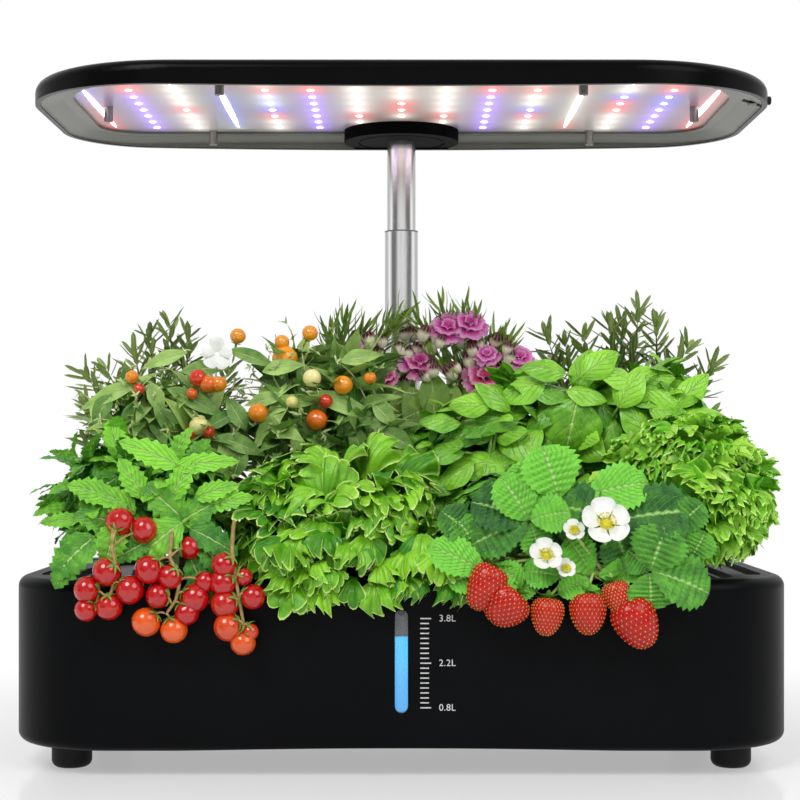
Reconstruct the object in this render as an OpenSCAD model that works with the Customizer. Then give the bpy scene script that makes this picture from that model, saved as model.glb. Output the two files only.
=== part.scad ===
// Countertop hydroponic garden: a water tank on four feet, a top cover and a lift-out
// planting deck with twelve pods, a circulation pump, a level gauge, and a grow lamp
// on a three-stage telescopic mast.
// Millimetres. +Z is up, -Y faces the user, +X is to the user's right.
// The origin is on the table, under the middle of the garden.

/* [Tank] */
// Width of the water tank
tank_w = 400; // [392:1:406]
// Depth of the water tank, front to back
tank_d = 205; // [203:1:210]
// Corner radius of the tank seen from above
tank_corner_r = 52; // [48:1:56]
// Height of the tank's rim above the table
rim_z = 98; // [96:1:102]
// Height of the tank's underside above the table
belly_z = 12.5; // [11:0.5:14]
// Thickness of the tank's wall
tank_wall = 2.6; // [2.2:0.1:3]
// Thickness of the tank's floor
tank_floor = 4.5; // [4:0.5:6]
// Radius of the shoulder that turns the wall into the rim
shoulder_r = 6; // [4:0.5:6]
// Radius of the edge under the tank
belly_edge_r = 5; // [3:0.5:6]
// Rise of the shallow arch under the tank
arch_rise = 1.8; // [0.4:0.2:2.4]
// Width of the shallow arch under the tank
arch_w = 232; // [160:4:260]

/* [Feet] */
// Diameter of a foot
foot_d = 20.6; // [16:0.2:22]
// Distance of the feet's centres from the middle, sideways
foot_x = 169.5; // [150:0.5:170]
// Distance of the feet's centres from the middle, front and back
foot_y = 70; // [60:1:72]

/* [Level gauge] */
// Width of the gauge's window
gauge_w = 6.5; // [5:0.5:8]
// Height of the window's lower end
gauge_low_z = 32.1; // [30:0.5:36]
// Height of the window's upper end
gauge_high_z = 83.2; // [76:0.2:84]
// Height of the water that the gauge shows
water_z = 69.3; // [45:0.5:78]

/* [Deck and pods] */
// Spacing of the pods, sideways
pod_pitch_x = 84; // [82:1:86]
// Spacing of the pods, front to back
pod_pitch_y = 56; // [54:1:58]
// Diameter of a pod's hole in the deck
pod_hole_d = 38; // [34:1:40]
// Depth of a basket below the deck
basket_depth = 44; // [38:1:46]
// Wall thickness of a basket
basket_wall = 1.4; // [1.2:0.1:2]

/* [Mast] */
// Distance of the mast's axis behind the middle
mast_y = 78; // [77:0.5:78.5]
// Outer diameter of the inner tube, which carries the lamp
inner_d = 17; // [16:0.2:17.2]
// Outer diameter of the middle tube
middle_d = 19.8; // [19.6:0.1:20]
// Outer diameter of the outer tube
outer_d = 22.6; // [22.4:0.1:22.8]
// Height of the top of the outer tube
outer_top_z = 206; // [200:1:212]
// Height of the top of the middle tube
middle_top_z = 291.8; // [285:0.2:296]

/* [Lamp] */
// Width of the lamp
lamp_w = 394; // [388:1:396]
// Depth of the lamp, front to back
lamp_d = 200; // [196:1:204]
// Radius of the lamp's rear corners seen from above
lamp_corner_r = 46; // [44:1:52]
// Radius of the lamp's front corners, which are rounder
lamp_front_r = 80; // [70:1:80]
// Height of the lamp's lower lip at its middle
lip_z = 344.5; // [340:0.5:350]
// Thickness of the lamp
lamp_h = 13.9; // [13:0.1:15]
// Rise of the lip towards both ends, over the lamp's half width
lip_bow = 2.5; // [1:0.1:2.6]
// Number of LED columns across the lamp
led_columns = 15; // [9:2:15]
// Number of LEDs in a column
led_rows = 8; // [4:1:8]
// Spacing of the LED columns
led_pitch_x = 24; // [20:1:24]
// Spacing of the LEDs along a column
led_pitch_y = 18.6; // [14:0.2:19]

/* [Plants] */
// Distance that foliage and fruit reach in front of and behind the middle
plant_reach = 127.5; // [126:0.5:130]
// Diameter of a cherry tomato
tomato_d = 14.6; // [12:0.2:15]
// Diameter of an ornamental pepper fruit
pepper_d = 13; // [10:0.5:14]
// Widest diameter of a strawberry
strawberry_d = 22; // [18:0.5:23]

/* [Hidden] */
$fn = 96;
blob_fn = 36;
front_y = -tank_d / 2;

// Top cover, seated in the tank's rim
seat_inset = 7;
seat_gap = 0.3;
seat_z = rim_z - 4;
neck_inset = 9.6;
neck_z = rim_z - 14;
opening_w = 340;
opening_d = 180;
opening_r = 18;
ledge_w = 4;
trough_top = 4.8;
deck_under_z = rim_z - 7.5;
cover_under_z = rim_z - 9.5;
deck_h = 3;
deck_z = deck_under_z + deck_h;

// Pods: four across and three deep, each column and row counted from the front left
pod_x = [for (i = [0:3]) (i - 1.5) * pod_pitch_x];
pod_y = [for (i = [0:2]) (i - 1) * pod_pitch_y];
hole_collar_h = 1.2;
slot_room = 5;
flange_z = deck_z + hole_collar_h;
plug_r = 11.6;
plug_low_z = flange_z - basket_depth + 1.6;
plug_top_z = flange_z - 2;

// Mast
tube_wall = 0.7;
socket_d = 28;
socket_top_z = 112;
bush_h = 12;
bush_gap = 0.06;
inner_low_z = 134;
inner_ring_z = 163.5;
middle_low_z = 103;
middle_ring_z = 132.7;
outer_low_z = belly_z + tank_floor + 6;
ring_h = 6;
mount_r = 34;
mount_z = lip_z + 0.9;

// Lamp
shell_wall = 3;
shell_skin = 2.4;
lamp_top_z = lip_z + lamp_h;
tray_edge_z = lip_z + 3.1;
board_z = lip_z + 7.9;
board_h = 1.6;
button_y = -30;
button_z = lip_z + 5.5;
button_r = 2.3;
button_flange_x = lamp_w / 2 - 5.2;

// Screw posts that hang from the LED board: four at the edges and two in the middle
posts = [[-93, -77], [93, -77], [-112, 77], [112, 77], [-162, 0], [162, 0]];
post_d = 4.9;
post_h = 8.4;
pilot_d = 2.4;

// Pump, standing on the tank's floor behind the middle row of pods
pump_x = -84;
pump_y = 58;
pump_floor_z = belly_z + tank_floor;
pump_w = 36;
pump_l = 30;
pump_h = 27;
rotor_z = pump_floor_z + 14;

// ---------------------------------------------------------------- shared shapes

// Rectangle with four true corner arcs. The front pair may have a radius of its own
module rounded_plan(w, d, r, front_r = 0) {
  f = front_r > 0 ? front_r : r;
  translate([-w / 2, f - d / 2]) square([w, d - r - f]);
  translate([r - w / 2, 0]) square([w - 2 * r, d / 2]);
  translate([f - w / 2, -d / 2]) square([w - 2 * f, d / 2]);
  for (sx = [-1, 1]) {
    translate([sx * (w / 2 - r), d / 2 - r]) circle(r);
    translate([sx * (w / 2 - f), f - d / 2]) circle(f);
  }
}

// Flat plate with a rounded-rectangle plan, from height z0 to z1
module plate(w, d, r, z0, z1, front_r = 0) {
  translate([0, 0, z0]) linear_extrude(z1 - z0) rounded_plan(w, d, r, front_r);
}

// Half profile of a block's side: x runs from 0 out to r, y is height
module side_profile(r, z0, z1, low, high) {
  translate([0, z0 + low]) square([r, z1 - z0 - low - high]);
  translate([0, z0]) square([r - low, low + 0.5]);
  translate([0, z1 - high - 0.5]) square([r - high, high + 0.5]);
  translate([r - low, z0 + low]) circle(low);
  translate([r - high, z1 - high]) circle(high);
}

// Carries a half profile round a rounded rectangle: four turned corners, four straight sides.
// The profile's outer edge lies at x = r, and is moved out on corners of another radius
module sweep_round(w, d, r, front_r = 0) {
  f = front_r > 0 ? front_r : r;
  for (mx = [0, 1], my = [0, 1]) {
    corner = my == 0 ? r : f;
    mirror([mx, 0, 0]) mirror([0, my, 0])
      translate([w / 2 - corner, d / 2 - corner, 0])
        rotate_extrude(angle = 90) translate([corner - r, 0]) children();
  }
  for (my = [0, 1]) {
    corner = my == 0 ? r : f;
    mirror([0, my, 0]) translate([corner - w / 2, d / 2 - r, 0])
      rotate([90, 0, 90]) linear_extrude(w - 2 * corner) children();
  }
  for (mx = [0, 1])
    mirror([mx, 0, 0]) translate([w / 2 - r, d / 2 - r, 0])
      rotate([90, 0, 0]) linear_extrude(d - r - f) children();
}

// Block with a rounded-rectangle plan and rounded lower and upper edges
module block(w, d, r, z0, z1, low, high, front_r = 0) {
  edge = max(low, high) + 1;
  sweep_round(w, d, r, front_r) side_profile(r, z0, z1, low, high);
  plate(w - 2 * edge, d - 2 * edge, r - edge, z0, z1, max(front_r - edge, 0));
}

// Tube standing on z0
module tube(d, wall, z0, z1) {
  translate([0, 0, z0]) difference() {
    cylinder(h = z1 - z0, d = d);
    translate([0, 0, -1]) cylinder(h = z1 - z0 + 2, d = d - 2 * wall);
  }
}

// Upright slot with round ends, run along Y from y0 to y1
module slot_prism(w, z0, z1, y0, y1) {
  translate([0, y1, 0]) rotate([90, 0, 0]) linear_extrude(y1 - y0) {
    translate([-w / 2, z0 + w / 2]) square([w, z1 - z0 - w]);
    translate([0, z0 + w / 2]) circle(w / 2);
    translate([0, z1 - w / 2]) circle(w / 2);
  }
}

// Height of a very shallow bow above its ends, at x from its middle
function bow(x, chord, rise) = rise * (1 - pow(2 * x / chord, 2));

// Block from depth below up to a shallow bow over its width, run along Y
module bowed_block(w, depth, chord, rise, length, steps = 24) {
  rotate([90, 0, 0]) linear_extrude(length, center = true) polygon(concat(
    [[w / 2, -depth], [-w / 2, -depth]],
    [for (i = [0:steps]) let (x = w * (i / steps - 0.5)) [x, bow(x, chord, rise)]]
  ));
}

// ---------------------------------------------------------------- tank and feet

// Moulded tub with a rolled shoulder, a neck and a seat for the top cover
module water_tank() {
  color("#121315") {
    difference() {
      block(tank_w, tank_d, tank_corner_r, belly_z, rim_z, belly_edge_r, shoulder_r);
      block(tank_w - 2 * tank_wall, tank_d - 2 * tank_wall, tank_corner_r - tank_wall,
            belly_z + tank_floor, neck_z, 4, 3);
      plate(tank_w - 2 * neck_inset, tank_d - 2 * neck_inset, tank_corner_r - neck_inset,
            neck_z - 4, rim_z + 1);
      plate(tank_w - 2 * seat_inset, tank_d - 2 * seat_inset, tank_corner_r - seat_inset,
            seat_z, rim_z + 1);
      translate([0, 0, belly_z]) bowed_block(arch_w, 3, arch_w, arch_rise, tank_d + 2);
      slot_prism(gauge_w, gauge_low_z, gauge_high_z, front_y - 1, front_y + 4);
      // pocket behind the wall, up into the neck, for the gauge's trough
      slot_prism(gauge_w + 13.4, gauge_low_z - 7, gauge_high_z + trough_top + 0.2,
                 front_y + tank_wall, front_y + tank_wall + 9.2);
      for (sx = [-1, 1], sy = [-1, 1])
        translate([sx * foot_x, sy * foot_y, belly_z - 1]) cylinder(h = 4, d = 8.2);
      translate([40, tank_d / 2 + 1, rim_z - 9]) rotate([90, 0, 0])
        cylinder(h = 12, d = 8.4);
    }
    // Ribs that keep the pump in its place
    for (sx = [-1, 1])
      translate([pump_x + sx * (pump_w / 2 + 1.6) - 0.8, pump_y - 12, pump_floor_z - 0.5])
        cube([1.6, 24, 5.5]);
  }
}

// Rubber foot with a spigot pressed into the tank's floor
module foot(sx, sy) {
  color("#0d0d0e") translate([sx * foot_x, sy * foot_y, 0]) {
    rotate_extrude() {
      translate([0, 4]) square([foot_d / 2, belly_z - 4]);
      square([foot_d / 2 - 4, 5]);
      translate([foot_d / 2 - 4, 4]) circle(4);
    }
    translate([0, 0, belly_z - 0.5]) cylinder(h = 3, d = 8);
  }
}

// ---------------------------------------------------------------- level gauge

// Clear lens that fills the slot, with a flange behind the wall
module gauge_window() {
  color([0.75, 0.86, 0.92, 0.5]) {
    slot_prism(gauge_w - 0.2, gauge_low_z + 0.1, gauge_high_z - 0.1,
               front_y + 0.2, front_y + tank_wall + 1.2);
    slot_prism(gauge_w + 6.5, gauge_low_z - 3.4, gauge_high_z + 3.4,
               front_y + tank_wall + 0.8, front_y + tank_wall + 2);
  }
}

// Flat rubber ring between the window's flange and the wall
module gauge_seal() {
  color("#2a2a2c") difference() {
    slot_prism(gauge_w + 6.5, gauge_low_z - 3.4, gauge_high_z + 3.4,
               front_y + tank_wall, front_y + tank_wall + 0.8);
    slot_prism(gauge_w + 0.3, gauge_low_z - 0.3, gauge_high_z + 0.3,
               front_y + tank_wall - 1, front_y + tank_wall + 2);
  }
}

// Trough screwed behind the window: it holds the lens and lets water rise beside it
module gauge_channel() {
  color("#565553") difference() {
    slot_prism(gauge_w + 13, gauge_low_z - 6.8, gauge_high_z + trough_top,
               front_y + tank_wall, front_y + tank_wall + 9);
    slot_prism(gauge_w + 6.8, gauge_low_z - 3.6, gauge_high_z + 3.6,
               front_y + tank_wall - 1, front_y + tank_wall + 2);
    slot_prism(gauge_w + 2.5, gauge_low_z - 1, gauge_high_z + 1,
               front_y + tank_wall, front_y + tank_wall + 7);
    for (z = [gauge_low_z + 3, gauge_high_z - 2])
      translate([0, front_y + tank_wall + 10, z]) rotate([90, 0, 0])
        cylinder(h = 5, d = 4);
  }
}

// Water standing in the trough, tinted blue so that it reads through the window
module level_column() {
  color("#1aa7ee") intersection() {
    slot_prism(gauge_w + 2.3, gauge_low_z - 0.9, gauge_high_z + 0.9,
               front_y + tank_wall + 2.05, front_y + tank_wall + 6.9);
    translate([-8, front_y, gauge_low_z - 2]) cube([16, 12, water_z - gauge_low_z + 2]);
  }
}

// ---------------------------------------------------------------- pump

// Motor housing on four suction feet, with the impeller's chamber in its front
module pump_body() {
  color("#1c1d1f") translate([pump_x, pump_y, pump_floor_z]) {
    difference() {
      union() {
        plate(pump_w, pump_l, 5, 1.5, pump_h);
        translate([0, 2, pump_h - 0.5]) cylinder(h = 9.5, d = 8);
      }
      // impeller's chamber, rotor's well, and the duct up to the outlet
      translate([0, 10 - pump_l / 2, 14]) rotate([90, 0, 0]) cylinder(h = 12, r = 11);
      translate([0, 24 - pump_l / 2, 14]) rotate([90, 0, 0]) cylinder(h = 15, r = 6.8);
      translate([0, -6, 22.8]) rotate([-90, 0, 0]) cylinder(h = 9, r = 1.6);
      translate([0, 2, 21.6]) cylinder(h = 20, d = 5.4);
    }
    for (sx = [-1, 1], sy = [-1, 1])
      translate([sx * 12, sy * 10, 0]) cylinder(h = 2, r1 = 5, r2 = 3);
  }
}

// Front cover with the suction grille
module pump_cover() {
  color("#26282b") translate([pump_x, pump_y - pump_l / 2, pump_floor_z]) {
    difference() {
      translate([-pump_w / 2 + 1, -2.5, 2]) cube([pump_w - 2, 2.5, pump_h - 3]);
      for (i = [-3:3])
        if (i != 0) translate([i * 3.6 - 0.9, -3, 7]) cube([1.8, 4, 14]);
    }
  }
}

// Ceramic shaft held between the back of the well and the cover
module pump_shaft() {
  color("#eceae4") translate([pump_x, pump_y - pump_l / 2, rotor_z]) rotate([-90, 0, 0])
    cylinder(h = 24, r = 1);
}

// Magnet rotor with five blades, turning on the shaft
module pump_impeller() {
  color("#d8d6d0") translate([pump_x, pump_y - pump_l / 2, rotor_z]) rotate([-90, 0, 0])
    difference() {
      union() {
        translate([0, 0, 5]) cylinder(h = 3, r = 9.6);
        translate([0, 0, 7.5]) cylinder(h = 15.5, r = 6.4);
        translate([0, 0, 1.2]) cylinder(h = 4, r = 2.2);
        for (i = [0:4])
          rotate(i * 72) translate([1.5, -0.7, 1.2]) cube([7.5, 1.4, 4]);
      }
      cylinder(h = 30, r = 1.05);
    }
}

// Soft tube that carries the water up to the roots, pushed over the pump's outlet
module riser_tube() {
  color([0.85, 0.88, 0.88]) translate([pump_x, pump_y + 2, pump_floor_z])
    tube(11.4, 1.6, pump_h, 66);
}

// Barrel socket in the rear of the rim, above the highest water level
module power_jack() {
  color("#18191b") translate([40, tank_d / 2, rim_z - 9]) rotate([90, 0, 0])
    difference() {
      union() {
        cylinder(h = 8, d = 8);
        translate([0, 0, -1]) cylinder(h = 1, d = 11);
      }
      translate([0, 0, -2]) difference() {
        cylinder(h = 8.5, d = 5.6);
        translate([0, 0, 2]) cylinder(h = 8, d = 2.1);
      }
    }
}

// ---------------------------------------------------------------- cover and deck

// Crescent-shaped hand groove that follows the tank's end
module end_groove(h) {
  linear_extrude(h) intersection() {
    difference() {
      rounded_plan(tank_w - 24, tank_d - 24, tank_corner_r - 12);
      translate([-9, 0]) rounded_plan(tank_w - 24, tank_d - 10, tank_corner_r);
    }
    translate([tank_w / 2 - 60, -64]) square([60, 128]);
  }
}

// Frame with an end shelf on both sides; the deck drops into its opening
module top_cover() {
  color("#3d3d3e") difference() {
    union() {
      plate(tank_w - 2 * (seat_inset + seat_gap), tank_d - 2 * (seat_inset + seat_gap),
            tank_corner_r - seat_inset - seat_gap, seat_z, rim_z);
      plate(tank_w - 2 * (neck_inset + seat_gap), tank_d - 2 * (neck_inset + seat_gap),
            tank_corner_r - neck_inset - seat_gap, cover_under_z, seat_z);
    }
    plate(opening_w, opening_d, opening_r, deck_under_z, rim_z + 1);
    plate(opening_w - 2 * ledge_w, opening_d - 2 * ledge_w, opening_r - ledge_w,
          cover_under_z - 1, rim_z);
    translate([0, mast_y, cover_under_z - 1]) cylinder(h = 12, d = socket_d + 0.6);
    for (mx = [0, 1]) mirror([mx, 0, 0]) {
      translate([0, 0, rim_z - 3]) end_groove(4);
      // the shelf is hollow underneath
      translate([0, 0, cover_under_z - 1]) linear_extrude(seat_z - cover_under_z) intersection() {
        rounded_plan(tank_w - 28, tank_d - 28, tank_corner_r - 14);
        translate([opening_w / 2 + 4, -tank_d / 2]) square([40, tank_d]);
      }
      // drain line on the shelf
      translate([opening_w / 2 + 4, -36, rim_z - 0.6]) cube([9, 1, 1]);
    }
  }
}

// Deck that carries the pods: it lies on the cover's ledge and lifts straight out
module planting_deck() {
  color("#0b0b0c") difference() {
    union() {
      plate(opening_w - 0.8, opening_d - 0.8, opening_r - 0.4, deck_under_z, deck_z);
      for (x = pod_x, y = pod_y)
        translate([x, y, deck_z - 0.5]) cylinder(h = hole_collar_h + 0.5, d = pod_hole_d + 8);
      // raised rim round the whole deck
      sweep_round(opening_w - 0.8, opening_d - 0.8, opening_r - 0.4)
        translate([opening_r - 3.4, deck_z - 0.5]) square([3, 2.1]);
      // finger tabs at both ends
      for (mx = [0, 1]) mirror([mx, 0, 0])
        translate([opening_w / 2 - 12, 5, deck_z - 0.5]) rotate([90, 0, 0])
          linear_extrude(10) polygon([[0, 0], [11, 0], [8.5, 6]]);
    }
    for (x = pod_x, y = pod_y)
      translate([x, y, deck_under_z - 1]) cylinder(h = 8, d = pod_hole_d);
    // square-ended slot round the mast's column, with room to draw the deck forward
    translate([-socket_d / 2 - 0.4, mast_y - socket_d / 2 - slot_room, deck_under_z - 1])
      cube([socket_d + 0.8, socket_d / 2 + slot_room + 20, 8]);
  }
}

// Slotted net basket that hangs in a deck hole by its flange
module basket(column, row) {
  top_r = pod_hole_d / 2 - 0.6;
  low_r = 14;
  color("#17181a") translate([pod_x[column], pod_y[row], flange_z]) difference() {
    rotate_extrude() polygon([
      [5, -basket_depth], [low_r, -basket_depth], [top_r, 0], [22.5, 0], [22.5, 1.5],
      [top_r - basket_wall, 1.5], [low_r - basket_wall, 1.6 - basket_depth],
      [5, 1.6 - basket_depth]
    ]);
    for (turn = [0:45:135])
      rotate(turn) translate([-30, -1.6, -basket_depth + 6]) cube([60, 3.2, basket_depth - 17]);
  }
}

// ---------------------------------------------------------------- mast

// Dry column on the tank's floor that holds the mast
module mast_socket() {
  color("#141517") translate([0, mast_y, 0]) difference() {
    union() {
      translate([0, 0, belly_z + tank_floor])
        cylinder(h = socket_top_z - belly_z - tank_floor - 1.5, d = socket_d);
      translate([0, 0, socket_top_z - 1.5])
        cylinder(h = 1.5, d1 = socket_d, d2 = socket_d - 3);
    }
    translate([0, 0, outer_low_z]) cylinder(h = 120, d = outer_d + 0.1);
  }
}

// Outer tube, fixed in the socket
module mast_outer() {
  color("#c9c7c6") translate([0, mast_y, 0])
    tube(outer_d, tube_wall, outer_low_z, outer_top_z);
}

// Guide bush for one tube in another, with a thin lip on the tube's end
module guide_bush(tube_d, rod_d, top_z) {
  translate([0, mast_y, 0]) difference() {
    union() {
      translate([0, 0, top_z - bush_h]) cylinder(h = bush_h + 0.8, d = tube_d - 2 * tube_wall);
      translate([0, 0, top_z]) cylinder(h = 0.8, d = tube_d);
    }
    translate([0, 0, top_z - bush_h - 1])
      cylinder(h = bush_h + 3, d = rod_d + 2 * bush_gap);
  }
}

// Bush at the top of the outer tube
module mast_collar() {
  color("#232426") guide_bush(outer_d, middle_d, outer_top_z);
}

// Moving tube with a swaged ring that stops against the bush above it
module sliding_tube(d, room_d, low_z, ring_z, top_z) {
  translate([0, mast_y, 0]) {
    tube(d, tube_wall, low_z, top_z);
    translate([0, 0, ring_z]) difference() {
      cylinder(h = ring_h, d = room_d - 0.12);
      translate([0, 0, -1]) cylinder(h = ring_h + 2, d = d - 2 * tube_wall);
    }
  }
}

// Middle tube of the mast
module mast_middle() {
  color("#cfcdcc")
    sliding_tube(middle_d, outer_d - 2 * tube_wall, middle_low_z, middle_ring_z, middle_top_z);
}

// Bush at the top of the middle tube
module mast_bush() {
  color("#8d8c8b") guide_bush(middle_d, inner_d, middle_top_z);
}

// Inner tube, which carries the lamp
module mast_inner() {
  color("#dad8d7")
    sliding_tube(inner_d, middle_d - 2 * tube_wall, inner_low_z, inner_ring_z, board_z + 2.6);
}

// ---------------------------------------------------------------- lamp

// Disc under the lamp's rear edge that clamps the inner tube
module mast_mount() {
  color("#070707") difference() {
    intersection() {
      translate([0, mast_y, mount_z]) union() {
        cylinder(h = board_z - mount_z, r = mount_r);
        cylinder(h = lamp_top_z - shell_skin - mount_z, r = 13);
      }
      translate([-60, 0, mount_z - 1])
        cube([120, lamp_d / 2 - shell_wall - 0.3, 20]);
    }
    translate([0, mast_y, mount_z - 1]) cylinder(h = board_z + 3.6 - mount_z, d = inner_d + 0.02);
    // ring groove round the tube
    translate([0, mast_y, mount_z - 1]) difference() {
      cylinder(h = 1.6, r = mount_r - 8);
      translate([0, 0, -1]) cylinder(h = 4, r = mount_r - 9.2);
    }
  }
}

// Everything below the lip, which rises towards both ends of the lamp
module below_lip(lift) {
  translate([0, 0, lip_z + lift])
    bowed_block(lamp_w + 10, 20, lamp_w, -lip_bow, lamp_d + 20, 36);
}

// Places its children at every screw post, on the underside of the LED board
module at_posts() {
  for (p = posts) translate([p[0], p[1], board_z]) children();
}

// Top shell of the lamp, with bosses for the screw posts
module lamp_shell() {
  color("#060706") {
    difference() {
      block(lamp_w, lamp_d, lamp_corner_r, lip_z - lip_bow - 2, lamp_top_z, 1, 6,
            lamp_front_r);
      plate(lamp_w - 2 * shell_wall, lamp_d - 2 * shell_wall, lamp_corner_r - shell_wall,
            lip_z - lip_bow - 3, lamp_top_z - shell_skin, lamp_front_r - shell_wall);
      below_lip(lip_bow);
      // hole for the button
      translate([lamp_w / 2 - 6, button_y, button_z]) rotate([0, 90, 0])
        cylinder(h = 10, r = button_r + 0.15);
    }
    at_posts() translate([0, 0, board_h]) difference() {
      cylinder(h = lamp_top_z - shell_skin - board_z - board_h + 0.5, d = 7);
      translate([0, 0, -1]) cylinder(h = 3, d = pilot_d);
    }
  }
}

// Pale reflector frame: a low wall inside the lip that slopes in to the LED board
module lamp_tray() {
  r = lamp_corner_r - shell_wall - 0.2;
  w = lamp_w - 2 * shell_wall - 0.4;
  d = lamp_d - 2 * shell_wall - 0.4;
  color("#8a8880") difference() {
    sweep_round(w, d, r, lamp_front_r - shell_wall - 0.2) polygon([
      [r, lip_z - 1], [r, tray_edge_z + 1.6], [r - 11.3, board_z], [r - 17, board_z],
      [r - 17, board_z - 1.4], [r - 11.6, board_z - 1.4], [r - 0.9, tray_edge_z],
      [r - 0.9, lip_z - 1]
    ]);
    below_lip(lip_bow + 0.4);
    translate([0, mast_y, lip_z - 2]) cylinder(h = 12, r = mount_r + 0.2);
    // room for the switch
    translate([lamp_w / 2 - 14, button_y - 4, lip_z - 2]) cube([12, 8, 14]);
  }
}

// Aluminium board that carries the LEDs, laid on the tray's flange
module led_board() {
  color("#a7a39f") difference() {
    plate(lamp_w - 2 * shell_wall - 26, lamp_d - 2 * shell_wall - 26,
          lamp_corner_r - shell_wall - 13, board_z, board_z + board_h,
          lamp_front_r - shell_wall - 13);
    translate([0, mast_y, board_z - 1]) cylinder(h = 4, r = 13.4);
    at_posts() translate([0, 0, -1]) cylinder(h = 4, d = pilot_d + 0.4);
  }
}

// True where an LED at x, y is clear of the mast's mount and of the tray's front corners
function led_fits(x, y) =
  norm([x, y - mast_y]) > mount_r + 3
  && norm([max(abs(x) - (lamp_w / 2 - lamp_front_r), 0),
           max(lamp_front_r - lamp_d / 2 - y, 0)]) < lamp_front_r - shell_wall - 19.2;

// Places its children at every LED
module at_leds() {
  for (i = [0:led_columns - 1], j = [0:led_rows - 1]) {
    x = (i - (led_columns - 1) / 2) * led_pitch_x;
    y = (j - (led_rows - 1) / 2) * led_pitch_y;
    if (led_fits(x, y)) translate([x, y, board_z]) children();
  }
}

// LED packages on the underside of the board
module led_chips() {
  color("#fff3ea") at_leds() translate([-1.5, -1.5, -0.7]) cube([3, 3, 0.7]);
}

// Screws with a tall post for a head, through the board into the shell's bosses
module lamp_screws() {
  color("#5d5a55") at_posts() difference() {
    union() {
      translate([0, 0, -post_h]) cylinder(h = post_h, d = post_d);
      cylinder(h = board_h + 1.7, d = pilot_d - 0.1);
    }
    translate([0, 0, -post_h - 1]) cylinder(h = 2.6, r = 1.3, $fn = 6);
  }
}

// Circuit board behind the LED board: LED driver and timer
module control_board() {
  top_z = board_z + board_h;
  color("#1f5a34") {
    translate([lamp_w / 2 - 42, button_y - 5, top_z]) cube([36, 30, 1.2]);
    for (x = [-38, -30, -22])
      translate([lamp_w / 2 + x, button_y + 2, top_z + 1.1]) cube([5, 7, 0.6]);
  }
}

// Push switch that hangs from the control board, behind the button
module power_switch() {
  color("#2b2b2d") translate([button_flange_x - 5.4, button_y - 3, button_z - 2])
    cube([4.4, 6, board_z + board_h - button_z + 2]);
}

// Round push button in the lamp's right-hand end
module power_button() {
  color("#1a1a1b") translate([button_flange_x, button_y, button_z]) rotate([0, 90, 0]) {
    cylinder(h = 0.8, r = button_r + 0.7);
    translate([0, 0, 0.5]) cylinder(h = 5.6, r = button_r);
    translate([0, 0, 6]) cylinder(h = 0.5, r1 = button_r, r2 = button_r - 0.5);
  }
}

// ---------------------------------------------------------------- plants

// Places its children at a pod
module at_pod(column, row) {
  translate([pod_x[column], pod_y[row], 0]) children();
}

// Sponge plug with the foot of the stem grown into it
module rooted_stem(top_z) {
  translate([0, 0, plug_low_z]) cylinder(h = plug_top_z - plug_low_z, r = plug_r);
  translate([0, 0, plug_top_z - 1]) cylinder(h = top_z - plug_top_z + 1, r1 = 3, r2 = 1.6);
}

// Outline of half an upright ellipse, for turning
function half_ellipse(r, h, n = 14) =
  [for (i = [0:n]) [r * sin(180 * i / n), h * cos(180 * i / n)]];

// Rounded mass of foliage
module mound(x, y, z, r, h) {
  translate([x, y, z]) rotate_extrude($fn = blob_fn) polygon(half_ellipse(r, h));
}

// Slender leafy shoot from its foot to its tip
module shoot(foot, tip, r) {
  run = tip - foot;
  length = norm(run);
  translate(foot) rotate([0, acos(run[2] / length), atan2(run[1], run[0])])
    translate([0, 0, length / 2]) rotate_extrude($fn = 24)
      polygon(half_ellipse(r, length / 2, 10));
}

// Thin stalk between two points
module stalk(from, to, r) {
  run = to - from;
  length = norm(run);
  translate(from) rotate([0, acos(run[2] / length), atan2(run[1], run[0])])
    cylinder(h = length, r = r, $fn = 16);
}

// Foliage that hangs over the rim, in front of the tank
module overhang(x0, x1, z0, z1, depth) {
  w = x1 - x0;
  h = z1 - z0;
  r = min(w, h) / 2 - 0.5;
  translate([(x0 + x1) / 2, front_y - 1, (z0 + z1) / 2]) rotate([90, 0, 0])
    linear_extrude(depth) rounded_plan(w, h, min(r, 14));
}

// Truss of cherry tomatoes hanging in front of the tank, from a root outside the foliage
module truss(root, x, top_z, count) {
  y = front_y - tomato_d / 2 - 2;
  step = tomato_d * 0.56;
  straight = x == root[0];
  translate(root) rotate([90, 0, 0]) cylinder(h = root[1] - y + 2.5, r = 1.6, $fn = 16);
  if (!straight) stalk([root[0], y, root[2]], [x, y, top_z + 4], 1);
  stalk([x, y, straight ? root[2] : top_z + 4.5], [x, y, top_z - count * step], 1.3);
  for (i = [0:count - 1]) {
    side = i % 2 == 0 ? -1 : 1;
    translate([x + side * (tomato_d / 2 + 0.7), y, top_z - i * step]) rotate([0, 0, 90])
      sphere(tomato_d / 2, $fn = 28);
  }
}

// Where the tomato's three trusses leave its foliage
truss_roots = [[-150, -100, 134], [-115.5, -100, 132], [-100, -100, 130]];

// Tomato: foliage over the front left corner, with a short stub for each truss
module tomato() {
  color("#3f9a2c") {
    at_pod(0, 0) rooted_stem(130);
    mound(-150, -64, 137, 33, 35);
    mound(-117, -64, 134, 30, 33);
    for (p = truss_roots)
      translate(p) rotate([-90, 0, 0]) cylinder(h = 18, r = 2.2, $fn = 16);
  }
}

// Left-hand truss of the tomato
module tomato_truss_left() {
  color("#d81e18") truss(truss_roots[0], -150, 103, 3);
}

// Middle truss of the tomato
module tomato_truss_middle() {
  color("#d81e18") truss(truss_roots[1], -115.5, 103.5, 5);
}

// Right-hand truss of the tomato
module tomato_truss_right() {
  color("#d81e18") truss(truss_roots[2], -81, 107, 6);
}

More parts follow.
